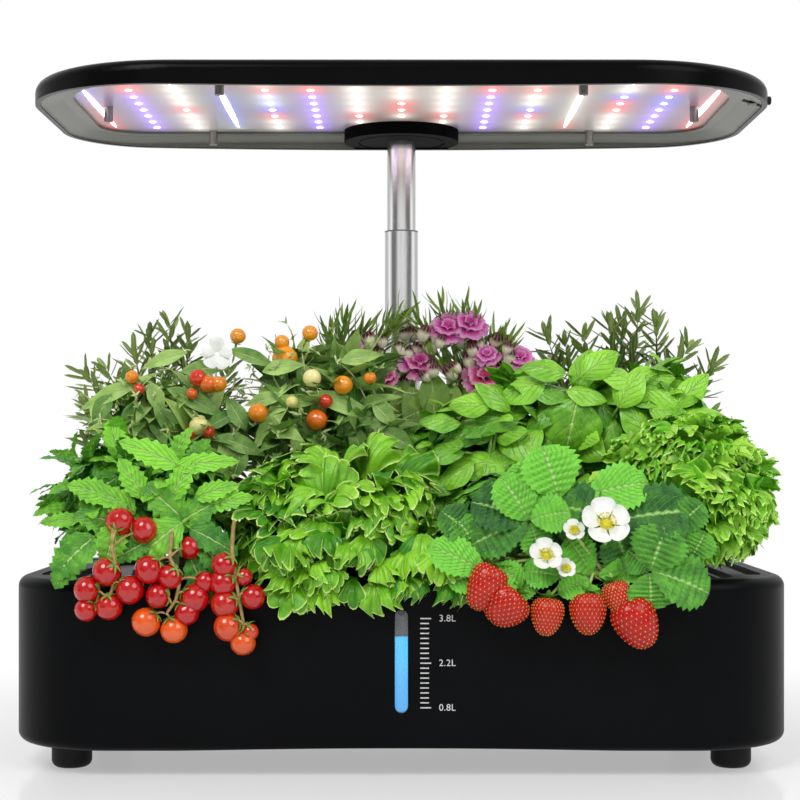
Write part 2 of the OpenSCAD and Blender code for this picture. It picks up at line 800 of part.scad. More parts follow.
// Ruffled lettuce whose outer leaves hang over the rim
module lettuce() {
  color("#6cc024") {
    at_pod(1, 0) rooted_stem(120);
    mound(-50, -64, 133, 34, 35);
    mound(-17, -66, 132, 34, 34);
    overhang(-64, 20, 77, 128, 13);
    translate([-50, -104, rim_z + 4]) cube([56, 30, 22]);
  }
}

// Berry hanging point down
module berry(x, z, y) {
  h = strawberry_d * 0.58;
  translate([x, y, z]) rotate_extrude($fn = blob_fn) polygon([
    [0, h], [strawberry_d * 0.3, h * 0.98], [strawberry_d * 0.46, h * 0.62],
    [strawberry_d / 2, h * 0.2], [strawberry_d * 0.46, -h * 0.25],
    [strawberry_d * 0.3, -h * 0.7], [strawberry_d * 0.14, -h * 0.96], [0, -h]
  ]);
}

// Upright disc in front of the tank's rim
module leaf_disc(x, z, r) {
  translate([x, front_y - 1, z]) rotate([90, 0, 0]) cylinder(h = 12, r = r);
}

// Strawberry: broad leaves over the rim, and berries in front of the tank
module strawberry() {
  berry_y = strawberry_d / 2 - plant_reach;
  color("#2f8f2a") {
    at_pod(2, 0) rooted_stem(120);
    mound(56, -65, 131, 33, 33);
    mound(70, -67, 128, 30, 31);
    translate([34, -104, rim_z + 4]) cube([52, 30, 20]);
    // broad leaves that face the front, each as the disc that its three leaflets fill
    leaf_disc(42, 110, 18);
    leaf_disc(64, 124, 24);
    leaf_disc(88, 112, 21);
    leaf_disc(108, 122, 24);
    leaf_disc(126, 106, 22);
  }
  color("#c8202a") for (i = [0:5])
    berry(38 + i * 16.4, 90 - 8 * sin(i * 36) - 3 * (i % 2), berry_y);
}

// Curly frisee over the front right corner
module frisee() {
  color("#8fd02c") {
    at_pod(3, 0) rooted_stem(120);
    mound(138, -65, 138, 34, 39);
    mound(164, -65, 141, 34, 42);
  }
}

// Ornamental pepper: a leafy bush with round fruit on its top
module pepper(column, middle_x, top_z) {
  r = 26;
  color("#3c8a34") {
    at_pod(column, 1) rooted_stem(130);
    for (sx = [-1, 1]) {
      mound(middle_x + sx * 16, 0, (top_z + 112) / 2, r, (top_z - 112) / 2);
      stalk([pod_x[column], 0, 105], [middle_x + sx * 13, 0, 130], 2);
    }
  }
  color("#f08a1c") for (i = [0:4])
    translate([middle_x - 30 + i * 15, -13 + 9 * (i % 2), top_z - 10 - 9 * abs(i - 2)])
      sphere(pepper_d / 2, $fn = 28);
}

// Left-hand pepper plant
module pepper_left() {
  pepper(0, -129, 206);
}

// Right-hand pepper plant
module pepper_right() {
  pepper(1, -43.5, 224);
}

// Basil: broad leaves on short upright stems
module basil(column, middle_x, top_z) {
  color("#58b52a") {
    at_pod(column, 1) rooted_stem(130);
    for (sx = [-1, 1]) {
      mound(middle_x + sx * 15, 0, (top_z + 108) / 2, 26.5, (top_z - 108) / 2);
      stalk([pod_x[column], 0, 105], [middle_x + sx * 12, 0, 125], 2);
    }
  }
}

// Left-hand basil plant
module basil_left() {
  basil(2, 42.5, 210);
}

// Right-hand basil plant
module basil_right() {
  basil(3, 127.5, 214);
}

// Dianthus: a cushion of stems with flower heads on top
module dianthus(column, heads) {
  x = pod_x[column];
  color("#5a9a3a") {
    at_pod(column, 2) rooted_stem(140);
    mound(x, pod_y[2] + 2, 160, 24, 45);
  }
  color("#c2338f") for (p = heads) {
    mound(p[0], p[1], p[2], 15, 12);
    stalk([x, pod_y[2], 150], [p[0], p[1], p[2]], 2);
  }
}

// Left-hand dianthus
module dianthus_left() {
  dianthus(1, [[-36, 50, 216], [-58, 66, 208]]);
}

// Right-hand dianthus
module dianthus_right() {
  dianthus(2, [[8, 46, 222], [36, 52, 228], [62, 66, 214]]);
}

// Rosemary: slender shoots that fan out from one pod
module rosemary(column, tips) {
  foot = [pod_x[column], pod_y[2], 102];
  color("#49653a") {
    at_pod(column, 2) rooted_stem(112);
    for (tip = tips) {
      shoot(foot, tip, 10);
      stalk(foot, foot + (tip - foot) * 0.4, 1.6);
    }
  }
}

// Tuft at the very back of a rosemary, on its own shoot
module rear_tuft(column, x, z) {
  r = 11;
  color("#49653a") {
    mound(x, plant_reach - r, z, r, 40);
    stalk([pod_x[column], pod_y[2], 108], [x, plant_reach - r, z - 20], 1.8);
  }
}

// Left-hand rosemary
module rosemary_left() {
  rosemary(0, [[-138, 72, 247], [-176, 70, 220], [-189, 56, 196], [-104, 84, 214]]);
  rear_tuft(0, -146, 182);
}

// Right-hand rosemary
module rosemary_right() {
  rosemary(3, [[141, 70, 256], [112, 76, 244], [170, 66, 230], [188, 60, 216]]);
  rear_tuft(3, 142, 186);
}

// ---------------------------------------------------------------- the assembly

water_tank();
top_cover();
gauge_window();
gauge_seal();
gauge_channel();
level_column();
foot(-1, -1);  // foot_front_left
foot(1, -1);  // foot_front_right
foot(-1, 1);  // foot_rear_left
foot(1, 1);  // foot_rear_right
pump_body();
pump_cover();
pump_shaft();
pump_impeller();
riser_tube();
power_jack();
planting_deck();
mast_socket();
mast_outer();
mast_collar();
mast_middle();
mast_bush();
mast_inner();
mast_mount();
lamp_shell();
lamp_tray();
led_board();
led_chips();
lamp_screws();
control_board();
power_switch();
power_button();
basket(0, 0);  // basket_front_1
basket(1, 0);  // basket_front_2
basket(2, 0);  // basket_front_3
basket(3, 0);  // basket_front_4
basket(0, 1);  // basket_middle_1
basket(1, 1);  // basket_middle_2
basket(2, 1);  // basket_middle_3
basket(3, 1);  // basket_middle_4
basket(0, 2);  // basket_back_1
basket(1, 2);  // basket_back_2
basket(2, 2);  // basket_back_3
basket(3, 2);  // basket_back_4
tomato();
tomato_truss_left();
tomato_truss_middle();
tomato_truss_right();
lettuce();
strawberry();
frisee();
pepper_left();
pepper_right();
basil_left();
basil_right();
rosemary_left();
dianthus_left();
dianthus_right();
rosemary_right();
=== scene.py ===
import math

import bpy
import numpy as np
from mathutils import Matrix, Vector


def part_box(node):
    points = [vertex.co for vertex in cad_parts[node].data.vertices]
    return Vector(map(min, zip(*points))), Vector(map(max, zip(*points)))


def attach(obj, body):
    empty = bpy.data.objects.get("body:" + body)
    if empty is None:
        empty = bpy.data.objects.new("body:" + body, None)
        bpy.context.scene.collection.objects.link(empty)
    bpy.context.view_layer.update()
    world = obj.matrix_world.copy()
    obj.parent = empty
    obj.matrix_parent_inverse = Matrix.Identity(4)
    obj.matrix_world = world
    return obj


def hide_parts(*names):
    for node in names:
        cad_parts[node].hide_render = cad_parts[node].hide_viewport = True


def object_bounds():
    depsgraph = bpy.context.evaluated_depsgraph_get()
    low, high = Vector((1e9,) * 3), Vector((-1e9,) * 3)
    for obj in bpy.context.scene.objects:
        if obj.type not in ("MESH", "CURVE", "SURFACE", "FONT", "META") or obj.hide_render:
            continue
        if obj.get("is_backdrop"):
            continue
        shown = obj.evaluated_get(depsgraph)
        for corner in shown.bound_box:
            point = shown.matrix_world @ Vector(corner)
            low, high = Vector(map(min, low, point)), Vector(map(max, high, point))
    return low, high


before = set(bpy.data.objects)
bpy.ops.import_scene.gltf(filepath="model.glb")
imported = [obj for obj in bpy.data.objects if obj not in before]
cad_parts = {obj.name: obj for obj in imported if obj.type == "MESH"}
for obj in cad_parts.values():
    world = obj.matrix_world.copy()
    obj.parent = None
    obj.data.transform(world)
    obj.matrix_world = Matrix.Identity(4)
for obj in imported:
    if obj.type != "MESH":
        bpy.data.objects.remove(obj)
cad_box = [list(corner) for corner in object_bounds()]

# ---------------------------------------------------------------- camera
# A long lens low in front of the garden, level with the plants. The shift puts the
# horizon below the middle of the frame, so that upright edges stay upright.
FRAME_PX = 800
FOCAL_PX = 1807
AXIS_PX = (401.4, 445.0)
SENSOR_MM = 36
EYE = Vector((0, -1.0, 0.1652))

camera_data = bpy.data.cameras.new("camera")
camera_data.sensor_width = SENSOR_MM
camera_data.lens = SENSOR_MM * FOCAL_PX / FRAME_PX
camera_data.shift_x = (FRAME_PX / 2 - AXIS_PX[0]) / FRAME_PX
camera_data.shift_y = (AXIS_PX[1] - FRAME_PX / 2) / FRAME_PX
camera = bpy.data.objects.new("camera", camera_data)
camera.location = EYE
camera.rotation_euler = (math.pi / 2, 0, 0)
bpy.context.collection.objects.link(camera)
scene = bpy.context.scene
scene.camera = camera
scene.view_settings.view_transform = "Standard"


def seen(px, py, depth):
    """The point, in millimetres, that shows at a pixel and lies at a depth along Y."""
    scale = FOCAL_PX / (depth - 1000 * EYE.y)
    return np.array([(px - AXIS_PX[0]) / scale, depth,
                     1000 * EYE.z - (py - AXIS_PX[1]) / scale])


# ---------------------------------------------------------------- floor and light
# A pale, slightly glossy table top that runs back into a white studio. The room is
# white behind the garden and dim in front of it, with two soft lights from above, and
# at eye level bright windows stand between dark walls.
class Wire:
    """A socket of a node tree. Arithmetic on it adds Math nodes."""

    def __init__(self, tree, socket=None):
        self.tree = tree
        self.socket = socket

    def node(self, kind, settings=(), inputs=(), output=0):
        made = self.tree.nodes.new("ShaderNode" + kind)
        for name, value in dict(settings).items():
            if name == "stops":
                ends = made.color_ramp.elements
                ends[0].position, ends[0].color = value[0]
                ends[1].position, ends[1].color = value[-1]
                for place, colour in value[1:-1]:
                    ends.new(place).color = colour
            else:
                setattr(made, name, value)
        for key, value in dict(inputs).items():
            if isinstance(value, Wire):
                self.tree.links.new(value.socket, made.inputs[key])
            else:
                made.inputs[key].default_value = value
        return Wire(self.tree, made.outputs[output])

    def other(self, output):
        return Wire(self.tree, self.socket.node.outputs[output])

    def math(self, operation, *values):
        return self.node("Math", {"operation": operation}, dict(enumerate(values)))

    def __add__(self, other):
        return self.math("ADD", self, other)

    def __sub__(self, other):
        return self.math("SUBTRACT", self, other)

    def __rsub__(self, other):
        return self.math("SUBTRACT", other, self)

    def __mul__(self, other):
        return self.math("MULTIPLY", self, other)

    __radd__ = __add__
    __rmul__ = __mul__

    def absolute(self):
        return self.math("ABSOLUTE", self)

    def most(self, other):
        return self.math("MAXIMUM", self, other)

    def smooth(self, low, high):
        """0 below low, 1 above high, and a soft step between them."""
        return self.node("MapRange", {"interpolation_type": "SMOOTHSTEP"},
                         {"Value": self, "From Min": low, "From Max": high})

    def blend(self, first, second):
        """Mixes two colours, with this value as the factor."""
        return self.node("Mix", {"data_type": "RGBA"}, {0: self, 6: first, 7: second}, 2)


def rgb(red, green, blue):
    return (red, green, blue, 1.0)


def new_material(name, **fixed):
    """A material, its wiring, and a function that links wires to its shader."""
    made = bpy.data.materials.new(name)
    made.use_nodes = True
    tree = made.node_tree
    shader = tree.nodes["Principled BSDF"]
    for socket, value in fixed.items():
        shader.inputs[socket.replace("_", " ")].default_value = value

    def feed(**wires):
        for socket, wire in wires.items():
            tree.links.new(wire.socket, shader.inputs[socket.replace("_", " ")])

    return made, Wire(tree), feed


def place_of(wiring, stretch=(1, 1, 1)):
    """Object coordinates in metres, stretched along the axes."""
    where = wiring.node("TexCoord", output="Object")
    return wiring.node("Mapping", {}, {"Vector": where, "Scale": stretch})


def noise(wiring, scale, detail=3.0, stretch=(1, 1, 1)):
    return wiring.node("TexNoise", {}, {"Vector": place_of(wiring, stretch), "Scale": scale,
                                        "Detail": detail})


def bump(height, distance, strength=1.0):
    return height.node("Bump", {}, {"Height": height, "Distance": distance,
                                    "Strength": strength})


def soft_light(name, place, aim, size, watts):
    lamp = bpy.data.lights.new(name, "AREA")
    lamp.shape = "DISK"
    lamp.size = size
    lamp.energy = watts
    piece = bpy.data.objects.new(name, lamp)
    piece.location = place
    piece.rotation_euler = (Vector(aim) - Vector(place)).to_track_quat("-Z", "Y").to_euler()
    bpy.context.collection.objects.link(piece)


GARDEN_MIDDLE = (0, 0, 0.15)
soft_light("key_light", (-0.7, -1.1, 1.5), GARDEN_MIDDLE, size=0.9, watts=17)
soft_light("fill_light", (0.9, -1.0, 1.1), GARDEN_MIDDLE, size=1.1, watts=9)

studio = bpy.data.worlds.new("studio")
scene.world = studio
studio.use_nodes = True
sky = Wire(studio.node_tree)
facing_back = sky.node("SeparateXYZ", {}, {0: sky.node("TexCoord", output="Generated")}, "Y")
eye_level = 1 - facing_back.other("Z").absolute().smooth(0.15, 0.4)
behind = facing_back.smooth(0.15, 0.4)
side_window = 1 - facing_back.absolute().smooth(0.1, 0.4)
end_window = facing_back.absolute().smooth(0.75, 0.93) * (1 - behind * 0.6)
walls = side_window * 0.83 + behind * 0.4 + 0.12 + end_window * 0.6
room = facing_back.smooth(-0.35, 0.65) * 0.62 + 0.3
room = room * (1 - eye_level) + walls * eye_level
# The camera, and what it sees through clear pieces, meets plain white instead of the room.
ray = sky.node("LightPath", output="Is Camera Ray")
ray = ray.most(ray.other("Is Transmission Ray"))
shown = ray + (1 - ray) * room
background = studio.node_tree.nodes["Background"]
studio.node_tree.links.new(shown.socket, background.inputs["Strength"])
background.inputs["Color"].default_value = rgb(1, 1, 1)

FLOOR_HALF, FLOOR_DROP = 6.0, 0.0002
floor_finish, start, feed = new_material("floor_finish", Roughness=0.16,
                                         Specular_IOR_Level=0.35)
tone = noise(start, scale=3.0, detail=1.0).smooth(0.3, 0.7)
feed(Base_Color=tone.blend(rgb(0.93, 0.93, 0.935), rgb(0.95, 0.95, 0.955)))
# Far from the garden the floor is as white as the room, and it keeps the shadow near by.
away = start.node("VectorMath", {"operation": "LENGTH"}, {0: place_of(start, (0.7, 1, 1))},
                  "Value")
ray = start.node("LightPath", output="Is Camera Ray")
seen_ray = ray.most(ray.other("Is Glossy Ray")).most(ray.other("Is Transmission Ray"))
white = start.node("Emission", {}, {"Color": rgb(1, 1, 1), "Strength": 1.0})
shader = Wire(start.tree, start.tree.nodes["Principled BSDF"].outputs[0])
both = start.node("MixShader", {}, {0: seen_ray * (away.smooth(0.16, 0.42) * 0.6 + 0.4),
                                    1: shader, 2: white})
start.tree.links.new(both.socket, start.tree.nodes["Material Output"].inputs["Surface"])
floor_mesh = bpy.data.meshes.new("floor")
floor_mesh.from_pydata([(x * FLOOR_HALF, y * FLOOR_HALF, -FLOOR_DROP)
                        for x, y in ((-1, -1), (1, -1), (1, 1), (-1, 1))],
                       [], [(0, 1, 2, 3)])
floor_mesh.materials.append(floor_finish)
floor = bpy.data.objects.new("floor", floor_mesh)
bpy.context.collection.objects.link(floor)
floor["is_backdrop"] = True


# ---------------------------------------------------------------- water tank
# One tub, injection moulded in black ABS with a satin skin. Its wall rolls over into a
# rim, and a shallow arch under it keeps it off the table between its four feet.
def dress(nodes, finish):
    """Gives CAD pieces a material."""
    for name in nodes:
        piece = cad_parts[name]
        for place in piece.material_slots:
            place.link = "OBJECT"
            place.material = finish


def moulded(name, colour, roughness, grain, specular=0.2, scale=900.0):
    """Satin or matt moulded plastic: a fine spark-eroded grain and faint flow marks."""
    finish, start, feed = new_material(name, Specular_IOR_Level=specular)
    flow = noise(start, scale=14.0, detail=2.0).smooth(0.3, 0.75)
    fine = noise(start, scale=scale, detail=2.0)
    feed(Base_Color=flow.blend(rgb(*[c * 0.85 for c in colour]), rgb(*[c * 1.2 for c in colour])),
         Roughness=flow * 0.06 + roughness - 0.03 + fine * 0.04,
         Normal=bump(fine, grain))
    return finish


tank_finish = moulded("tank_finish", (0.0024, 0.0028, 0.0034), roughness=0.36, grain=0.00002,
                      specular=0.07)
dress(["water_tank"], tank_finish)

# ---------------------------------------------------------------- feet
# Four feet moulded in black rubber, with a rounded tread. Each is pressed into the tank's
# floor by its spigot.
foot_finish = moulded("foot_finish", (0.006, 0.006, 0.006), roughness=0.6, grain=0.00004,
                      specular=0.3, scale=1400.0)
dress([f"foot_{a}_{b}" for a in ("front", "rear") for b in ("left", "right")], foot_finish)

# ---------------------------------------------------------------- level gauge
# A clear acrylic window in the front wall, sealed by a flat rubber ring and held from
# behind by a grey trough. The water in the trough is tinted to read from across a room, and it
# has a painted glow.
clear_finish, start, feed = new_material(
    "clear_finish", Transmission_Weight=0.92, IOR=1.2, Specular_IOR_Level=0.3)
haze = noise(start, scale=60.0, detail=2.0)
feed(Base_Color=haze.blend(rgb(0.94, 0.97, 1.0), rgb(1.0, 1.0, 1.0)),
     Roughness=haze * 0.05 + 0.02)
dress(["gauge_window"], clear_finish)

trough_finish = moulded("trough_finish", (0.16, 0.16, 0.155), roughness=0.5, grain=0.00002)
dress(["gauge_channel"], trough_finish)
seal_finish = moulded("seal_finish", (0.02, 0.02, 0.02), roughness=0.7, grain=0.00003)
dress(["gauge_seal"], seal_finish)

# The water's colour is also given as emission, a painted glow; it is paler towards the top.
water_finish, start, feed = new_material("water_finish", Roughness=0.2, Emission_Strength=0.55)
level = start.node("SeparateXYZ", {}, {0: place_of(start)}, "Z")
depth = level.smooth(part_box("level_column")[0][2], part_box("level_column")[1][2])
swirl = noise(start, scale=120.0, detail=2.0, stretch=(1, 1, 0.4))
tint = (depth + (swirl - 0.5) * 0.3).smooth(0.0, 1.0)
feed(Base_Color=tint.blend(rgb(0.0, 0.34, 0.72), rgb(0.01, 0.52, 0.95)),
     Emission_Color=tint.blend(rgb(0.0, 0.36, 0.78), rgb(0.01, 0.5, 0.98)))
dress(["level_column"], water_finish)

# ---------------------------------------------------------------- gauge scale
# White ink pad-printed beside the window: nineteen strokes, with the litres against
# the first, the tenth and the last.
def box_mm(node):
    """The two corners of a CAD piece, in millimetres."""
    return [1000 * np.array(corner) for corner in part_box(node)]


TANK_FACE_Y = box_mm("water_tank")[0][1]
SCALE_TOP_Z = 79.0
STROKES, STROKE_PITCH = 19, 2.463
STROKE_X, STROKE_LENGTH, STROKE_HALF = 9.4, 4.3, 0.3
NUMBERED_EXTRA = 1.0
INK, INK_SINK = 0.06, 0.02
LITRES = {0: "3.8L", 9: "2.2L", 18: "0.8L"}


def link_piece(name, data, body, *replaced, slot=None):
    """A new piece that rides on a body, and stands for CAD nodes where it replaces any."""
    piece = bpy.data.objects.new(name, data)
    bpy.context.collection.objects.link(piece)
    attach(piece, body)
    if replaced:
        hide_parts(*replaced)
    return piece


def mesh_of(name, points, faces, *materials):
    """A mesh from points in millimetres."""
    made = bpy.data.meshes.new(name)
    made.from_pydata((np.asarray(points, float) / 1000).tolist(), [], faces)
    for finish in materials:
        made.materials.append(finish)
    made.update()
    return made


def box_points(low, high):
    return [(x, y, z) for z in (low[2], high[2]) for x, y in
            ((low[0], low[1]), (high[0], low[1]), (high[0], high[1]), (low[0], high[1]))]


BOX_FACES = [(0, 3, 2, 1), (4, 5, 6, 7), (0, 1, 5, 4), (1, 2, 6, 5), (2, 3, 7, 6), (3, 0, 4, 7)]

ink_finish, start, feed = new_material("ink_finish", Roughness=0.5)
wear = noise(start, scale=2500.0, detail=2.0).smooth(0.25, 0.6)
feed(Base_Color=wear.blend(rgb(0.42, 0.42, 0.42), rgb(0.78, 0.78, 0.78)))

points, faces = [], []
for i in range(STROKES):
    z = SCALE_TOP_Z - i * STROKE_PITCH
    reach = STROKE_LENGTH + (NUMBERED_EXTRA if i in LITRES else 0.0)
    faces += [tuple(len(points) + k for k in face) for face in BOX_FACES]
    points += box_points((STROKE_X, TANK_FACE_Y - INK, z - STROKE_HALF),
                         (STROKE_X + reach, TANK_FACE_Y + INK_SINK, z + STROKE_HALF))
link_piece("scale_strokes", mesh_of("scale_strokes", points, faces, ink_finish), "root",
           slot="tank_plastic")

LABEL_X, LABEL_SIZE, LABEL_SPACING = 18.6, 4.7, 1.05
for i, words in LITRES.items():
    label = bpy.data.curves.new("label", "FONT")
    label.body = words
    label.size = LABEL_SIZE / 1000
    label.extrude = INK / 2000
    label.align_y = "CENTER"
    label.space_character = LABEL_SPACING
    label.materials.append(ink_finish)
    z = SCALE_TOP_Z - i * STROKE_PITCH
    piece = link_piece(f"scale_label_{i}", label, "root", slot="tank_plastic")
    piece.location = (LABEL_X / 1000, (TANK_FACE_Y - INK / 2) / 1000, z / 1000)
    piece.rotation_euler = (math.pi / 2, 0, 0)

# ---------------------------------------------------------------- pump and jack
# A small submersible pump with a magnet rotor on a ceramic shaft. It stands between
# two ribs, and a soft tube leads from its outlet. The jack is potted in the rear wall.
pump_finish = moulded("pump_finish", (0.012, 0.013, 0.015), roughness=0.45, grain=0.00003,
                      specular=0.4)
dress(["pump_body", "pump_cover"], pump_finish)
rotor_finish = moulded("rotor_finish", (0.6, 0.59, 0.56), roughness=0.35, grain=0.00001,
                       specular=0.5)
dress(["pump_impeller", "pump_shaft"], rotor_finish)
tube_finish = moulded("tube_finish", (0.55, 0.6, 0.6), roughness=0.3, grain=0.00001, specular=0.5)
dress(["riser_tube"], tube_finish)
jack_finish = moulded("jack_finish", (0.01, 0.01, 0.01), roughness=0.4, grain=0.00002,
                      specular=0.4)
dress(["power_jack"], jack_finish)

# ---------------------------------------------------------------- top cover
# A frame moulded in a softer, greyer black. It sits flush in the tank's rim, with a
# shelf and a hand groove at each end.
cover_finish = moulded("cover_finish", (0.03, 0.03, 0.03), roughness=0.55, grain=0.00004,
                       specular=0.35)
dress(["top_cover"], cover_finish)

# ---------------------------------------------------------------- planting deck
# The black tray that drops into the cover and carries the pods, with a rounded rim and
# two finger tabs. A slot that is open to the rear lets it lift off past the mast.
deck_finish = moulded("deck_finish", (0.005, 0.005, 0.005), roughness=0.42, grain=0.00003,
                      specular=0.3)
dress(["planting_deck"], deck_finish)

# ---------------------------------------------------------------- mast
# Three drawn steel tubes in each other, ground along their length and left satin. A collar
# and an acetal bush guide them, and the lowest stands in a socket on the tank's floor.
socket_finish = moulded("socket_finish", (0.01, 0.01, 0.01), roughness=0.4, grain=0.00002)
dress(["mast_socket", "mast_collar"], socket_finish)
bush_finish = moulded("bush_finish", (0.22, 0.22, 0.22), roughness=0.45, grain=0.00002)
dress(["mast_bush"], bush_finish)

steel_finish, start, feed = new_material("steel_finish", Metallic=1.0)
streak = noise(start, scale=900.0, detail=3.0, stretch=(1, 1, 0.02))
cloud = noise(start, scale=30.0, detail=2.0, stretch=(1, 1, 0.3))
feed(Base_Color=streak.smooth(0.3, 0.7).blend(rgb(0.86, 0.86, 0.86), rgb(0.95, 0.945, 0.94)),
     Roughness=0.14 + streak * 0.08 + cloud * 0.04,
     Normal=bump(streak, 0.00001))
dress(["mast_outer", "mast_middle", "mast_inner"], steel_finish)

# ---------------------------------------------------------------- lamp shell
# A thin black lid with rounded ends and a bowed lip, polished all round its band. The
# disc under its rear edge clamps the mast, and the button looks out of its right end.
gloss_finish, start, feed = new_material("gloss_finish", Specular_IOR_Level=0.06)
polish = noise(start, scale=25.0, detail=2.0)
fine = noise(start, scale=1100.0, detail=2.0)
feed(Base_Color=polish.blend(rgb(0.0018, 0.002, 0.0018), rgb(0.003, 0.003, 0.0028)),
     Roughness=0.2 + polish * 0.12,
     Normal=bump(fine, 0.000004))
dress(["lamp_shell"], gloss_finish)
clamp_finish = moulded("clamp_finish", (0.002, 0.002, 0.002), roughness=0.6, grain=0.00001,
                       specular=0.02)
dress(["mast_mount"], clamp_finish)
button_finish = moulded("button_finish", (0.01, 0.01, 0.01), roughness=0.3, grain=0.00001)
dress(["power_button", "power_switch"], button_finish)
circuit_finish = moulded("circuit_finish", (0.01, 0.12, 0.03), roughness=0.3, grain=0.00003,
                         specular=0.5)
dress(["control_board"], circuit_finish)

# ---------------------------------------------------------------- lamp tray
# A pale grey frame, vacuum formed, that slopes from the lip up to the LED board. Six
# screws with tall heads hold the board to bosses in the shell.
tray_finish = moulded("tray_finish", (0.14, 0.137, 0.118), roughness=0.33, grain=0.00001,
                      specular=0.4)
dress(["lamp_tray"], tray_finish)

screw_finish, start, feed = new_material("screw_finish", Metallic=0.7)
rub = noise(start, scale=400.0, detail=2.0)
feed(Base_Color=rub.blend(rgb(0.16, 0.15, 0.14), rgb(0.3, 0.29, 0.27)), Roughness=0.3 + rub * 0.2)
dress(["lamp_screws"], screw_finish)

# ---------------------------------------------------------------- LEDs and their board
# Fifteen columns of LEDs on a white-coated aluminium board. Four columns are strips,
# each under one diffuser; the others are single chips in warm white, deep red and blue.
WHITE = (1.0, 0.95, 0.9)
COOL = (0.82, 0.85, 1.0)
RED = (1.0, 0.18, 0.13)
BLUE = (0.22, 0.28, 1.0)
VIOLET = (0.62, 0.4, 1.0)
PINK = (1.0, 0.72, 0.74)
LETTER = {"w": WHITE, "c": COOL, "r": RED, "b": BLUE, "v": VIOLET, "p": PINK}
# Each column from its front to its back: a letter for each of its eight chips, or a dash
# and then the letters of the glow along a strip.
COLUMNS = ["-bvrr", "rrvvvvvv", "wwwwrwww", "-rbbw", "wrccbrww", "rrvvvvvv", "wwwwwrww",
           "rwwrrwwr", "wwwwwrww", "rrvvvvvv", "wrwwbrww", "-rwwr", "wwbrrwww", "rrbbvvvv",
           "-brrr"]
CHIPS_IN_COLUMN = 8
CHIP = 3.0
CHIP_INSET, STRIP_INSET, MOUNT_GAP = 5.0, 3.0, 3.0
BOARD_FRONT_R, BOARD_REAR_R = 64.0, 30.0
board_low, board_high = box_mm("led_board")
chips_low, chips_high = box_mm("led_chips")
mast_low, mast_high = box_mm("mast_inner")
mount_low, mount_high = box_mm("mast_mount")
mast_xy = (mast_low + mast_high)[:2] / 2
mount_r = (mount_high - mount_low)[0] / 2
column_x = np.linspace(chips_low[0] + CHIP / 2, chips_high[0] - CHIP / 2, len(COLUMNS))
row_y = np.linspace(chips_low[1] + CHIP / 2, chips_high[1] - CHIP / 2, CHIPS_IN_COLUMN)


def board_reach(y, inset=0.0):
    """Half the board's width at a distance from its middle, front to back."""
    front = np.maximum(BOARD_FRONT_R - board_high[1] - y, 0)
    rear = np.maximum(y - board_high[1] + BOARD_REAR_R, 0)
    round_in = [radius - np.sqrt(np.maximum((radius - inset) ** 2 - past ** 2, 0))
                for radius, past in ((BOARD_FRONT_R, front), (BOARD_REAR_R, rear))]
    return board_high[0] - np.maximum(*round_in)


chips, strips = [], []
for x, code in zip(column_x, COLUMNS):
    if code[0] == "-":
        strips.append((x, np.array([LETTER[k] for k in code[1:]])))
        continue
    for y, letter in zip(row_y, code):
        clear = np.hypot(*(np.array([x, y]) - mast_xy)) > mount_r + MOUNT_GAP
        if clear and abs(x) < board_reach(y, CHIP_INSET):
            chips.append((x, y, np.array(LETTER[letter])))


def paint(mesh, name, colours):
    layer = mesh.color_attributes.new(name, "FLOAT_COLOR", "POINT")
    full = np.ones((len(mesh.vertices), 4))
    full[:, :3] = colours
    layer.data.foreach_set("color", full.ravel())


def dome(x, y, half_x, half_y, base_z, height, sides=12, rings=4):
    """A shallow lens with an oval plan, bulging down from the board."""
    pts = []
    for k in range(rings):
        a = 0.5 * math.pi * k / (rings - 1)
        for s in range(sides):
            t = 2 * math.pi * s / sides
            pts.append((x + half_x * math.cos(a) * math.cos(t),
                        y + half_y * math.cos(a) * math.sin(t), base_z - height * math.sin(a)))
    pts[-sides:] = [(x, y, base_z - height)]
    quads = [(k * sides + s, k * sides + (s + 1) % sides, (k + 1) * sides + (s + 1) % sides,
              (k + 1) * sides + s) for k in range(rings - 2) for s in range(sides)]
    last = (rings - 2) * sides
    quads += [(last + s, last + (s + 1) % sides, last + sides) for s in range(sides)]
    quads.append(tuple(range(sides))[::-1])
    return pts, quads


LENS_HALF_X, LENS_HALF_Y, LENS_HEIGHT = 2.1, 1.7, 0.68
STRIP_HALF_X, STRIP_SIDES, STRIP_RINGS = 1.8, 48, 5
STRIP_COLOUR = np.array([1.0, 0.86, 0.88])
BOARD_STEP = 1.5
lenses = [(dome(x, y, LENS_HALF_X, LENS_HALF_Y, board_low[2], LENS_HEIGHT), 0.55 + 0.45 * colour)
          for x, y, colour in chips]
for x, _ in strips:
    run = [y for y in np.arange(row_y[0], row_y[-1] + BOARD_STEP, BOARD_STEP)
           if abs(x) < board_reach(y, STRIP_INSET)]
    lens = dome(x, (run[0] + run[-1]) / 2, STRIP_HALF_X, (run[-1] - run[0]) / 2, board_low[2],
                LENS_HEIGHT, STRIP_SIDES, STRIP_RINGS)
    lenses.append((lens, STRIP_COLOUR))
points, faces, colours = [], [], []
for (pts, quads), colour in lenses:
    faces += [tuple(len(points) + k for k in quad) for quad in quads]
    points += pts
    colours += [colour] * len(pts)
lights_mesh = mesh_of("led_lenses", points, faces)
for face in lights_mesh.polygons:
    face.use_smooth = True
paint(lights_mesh, "glow", np.array(colours))
lens_finish, start, feed = new_material("lens_finish", Roughness=0.25, Emission_Strength=5.0)
glow = start.node("Attribute", {"attribute_name": "glow"}, output="Color")
feed(Base_Color=glow, Emission_Color=glow)
lights_mesh.materials.append(lens_finish)
link_piece("led_lenses", lights_mesh, "lamp", "led_chips", slot="led_lens")
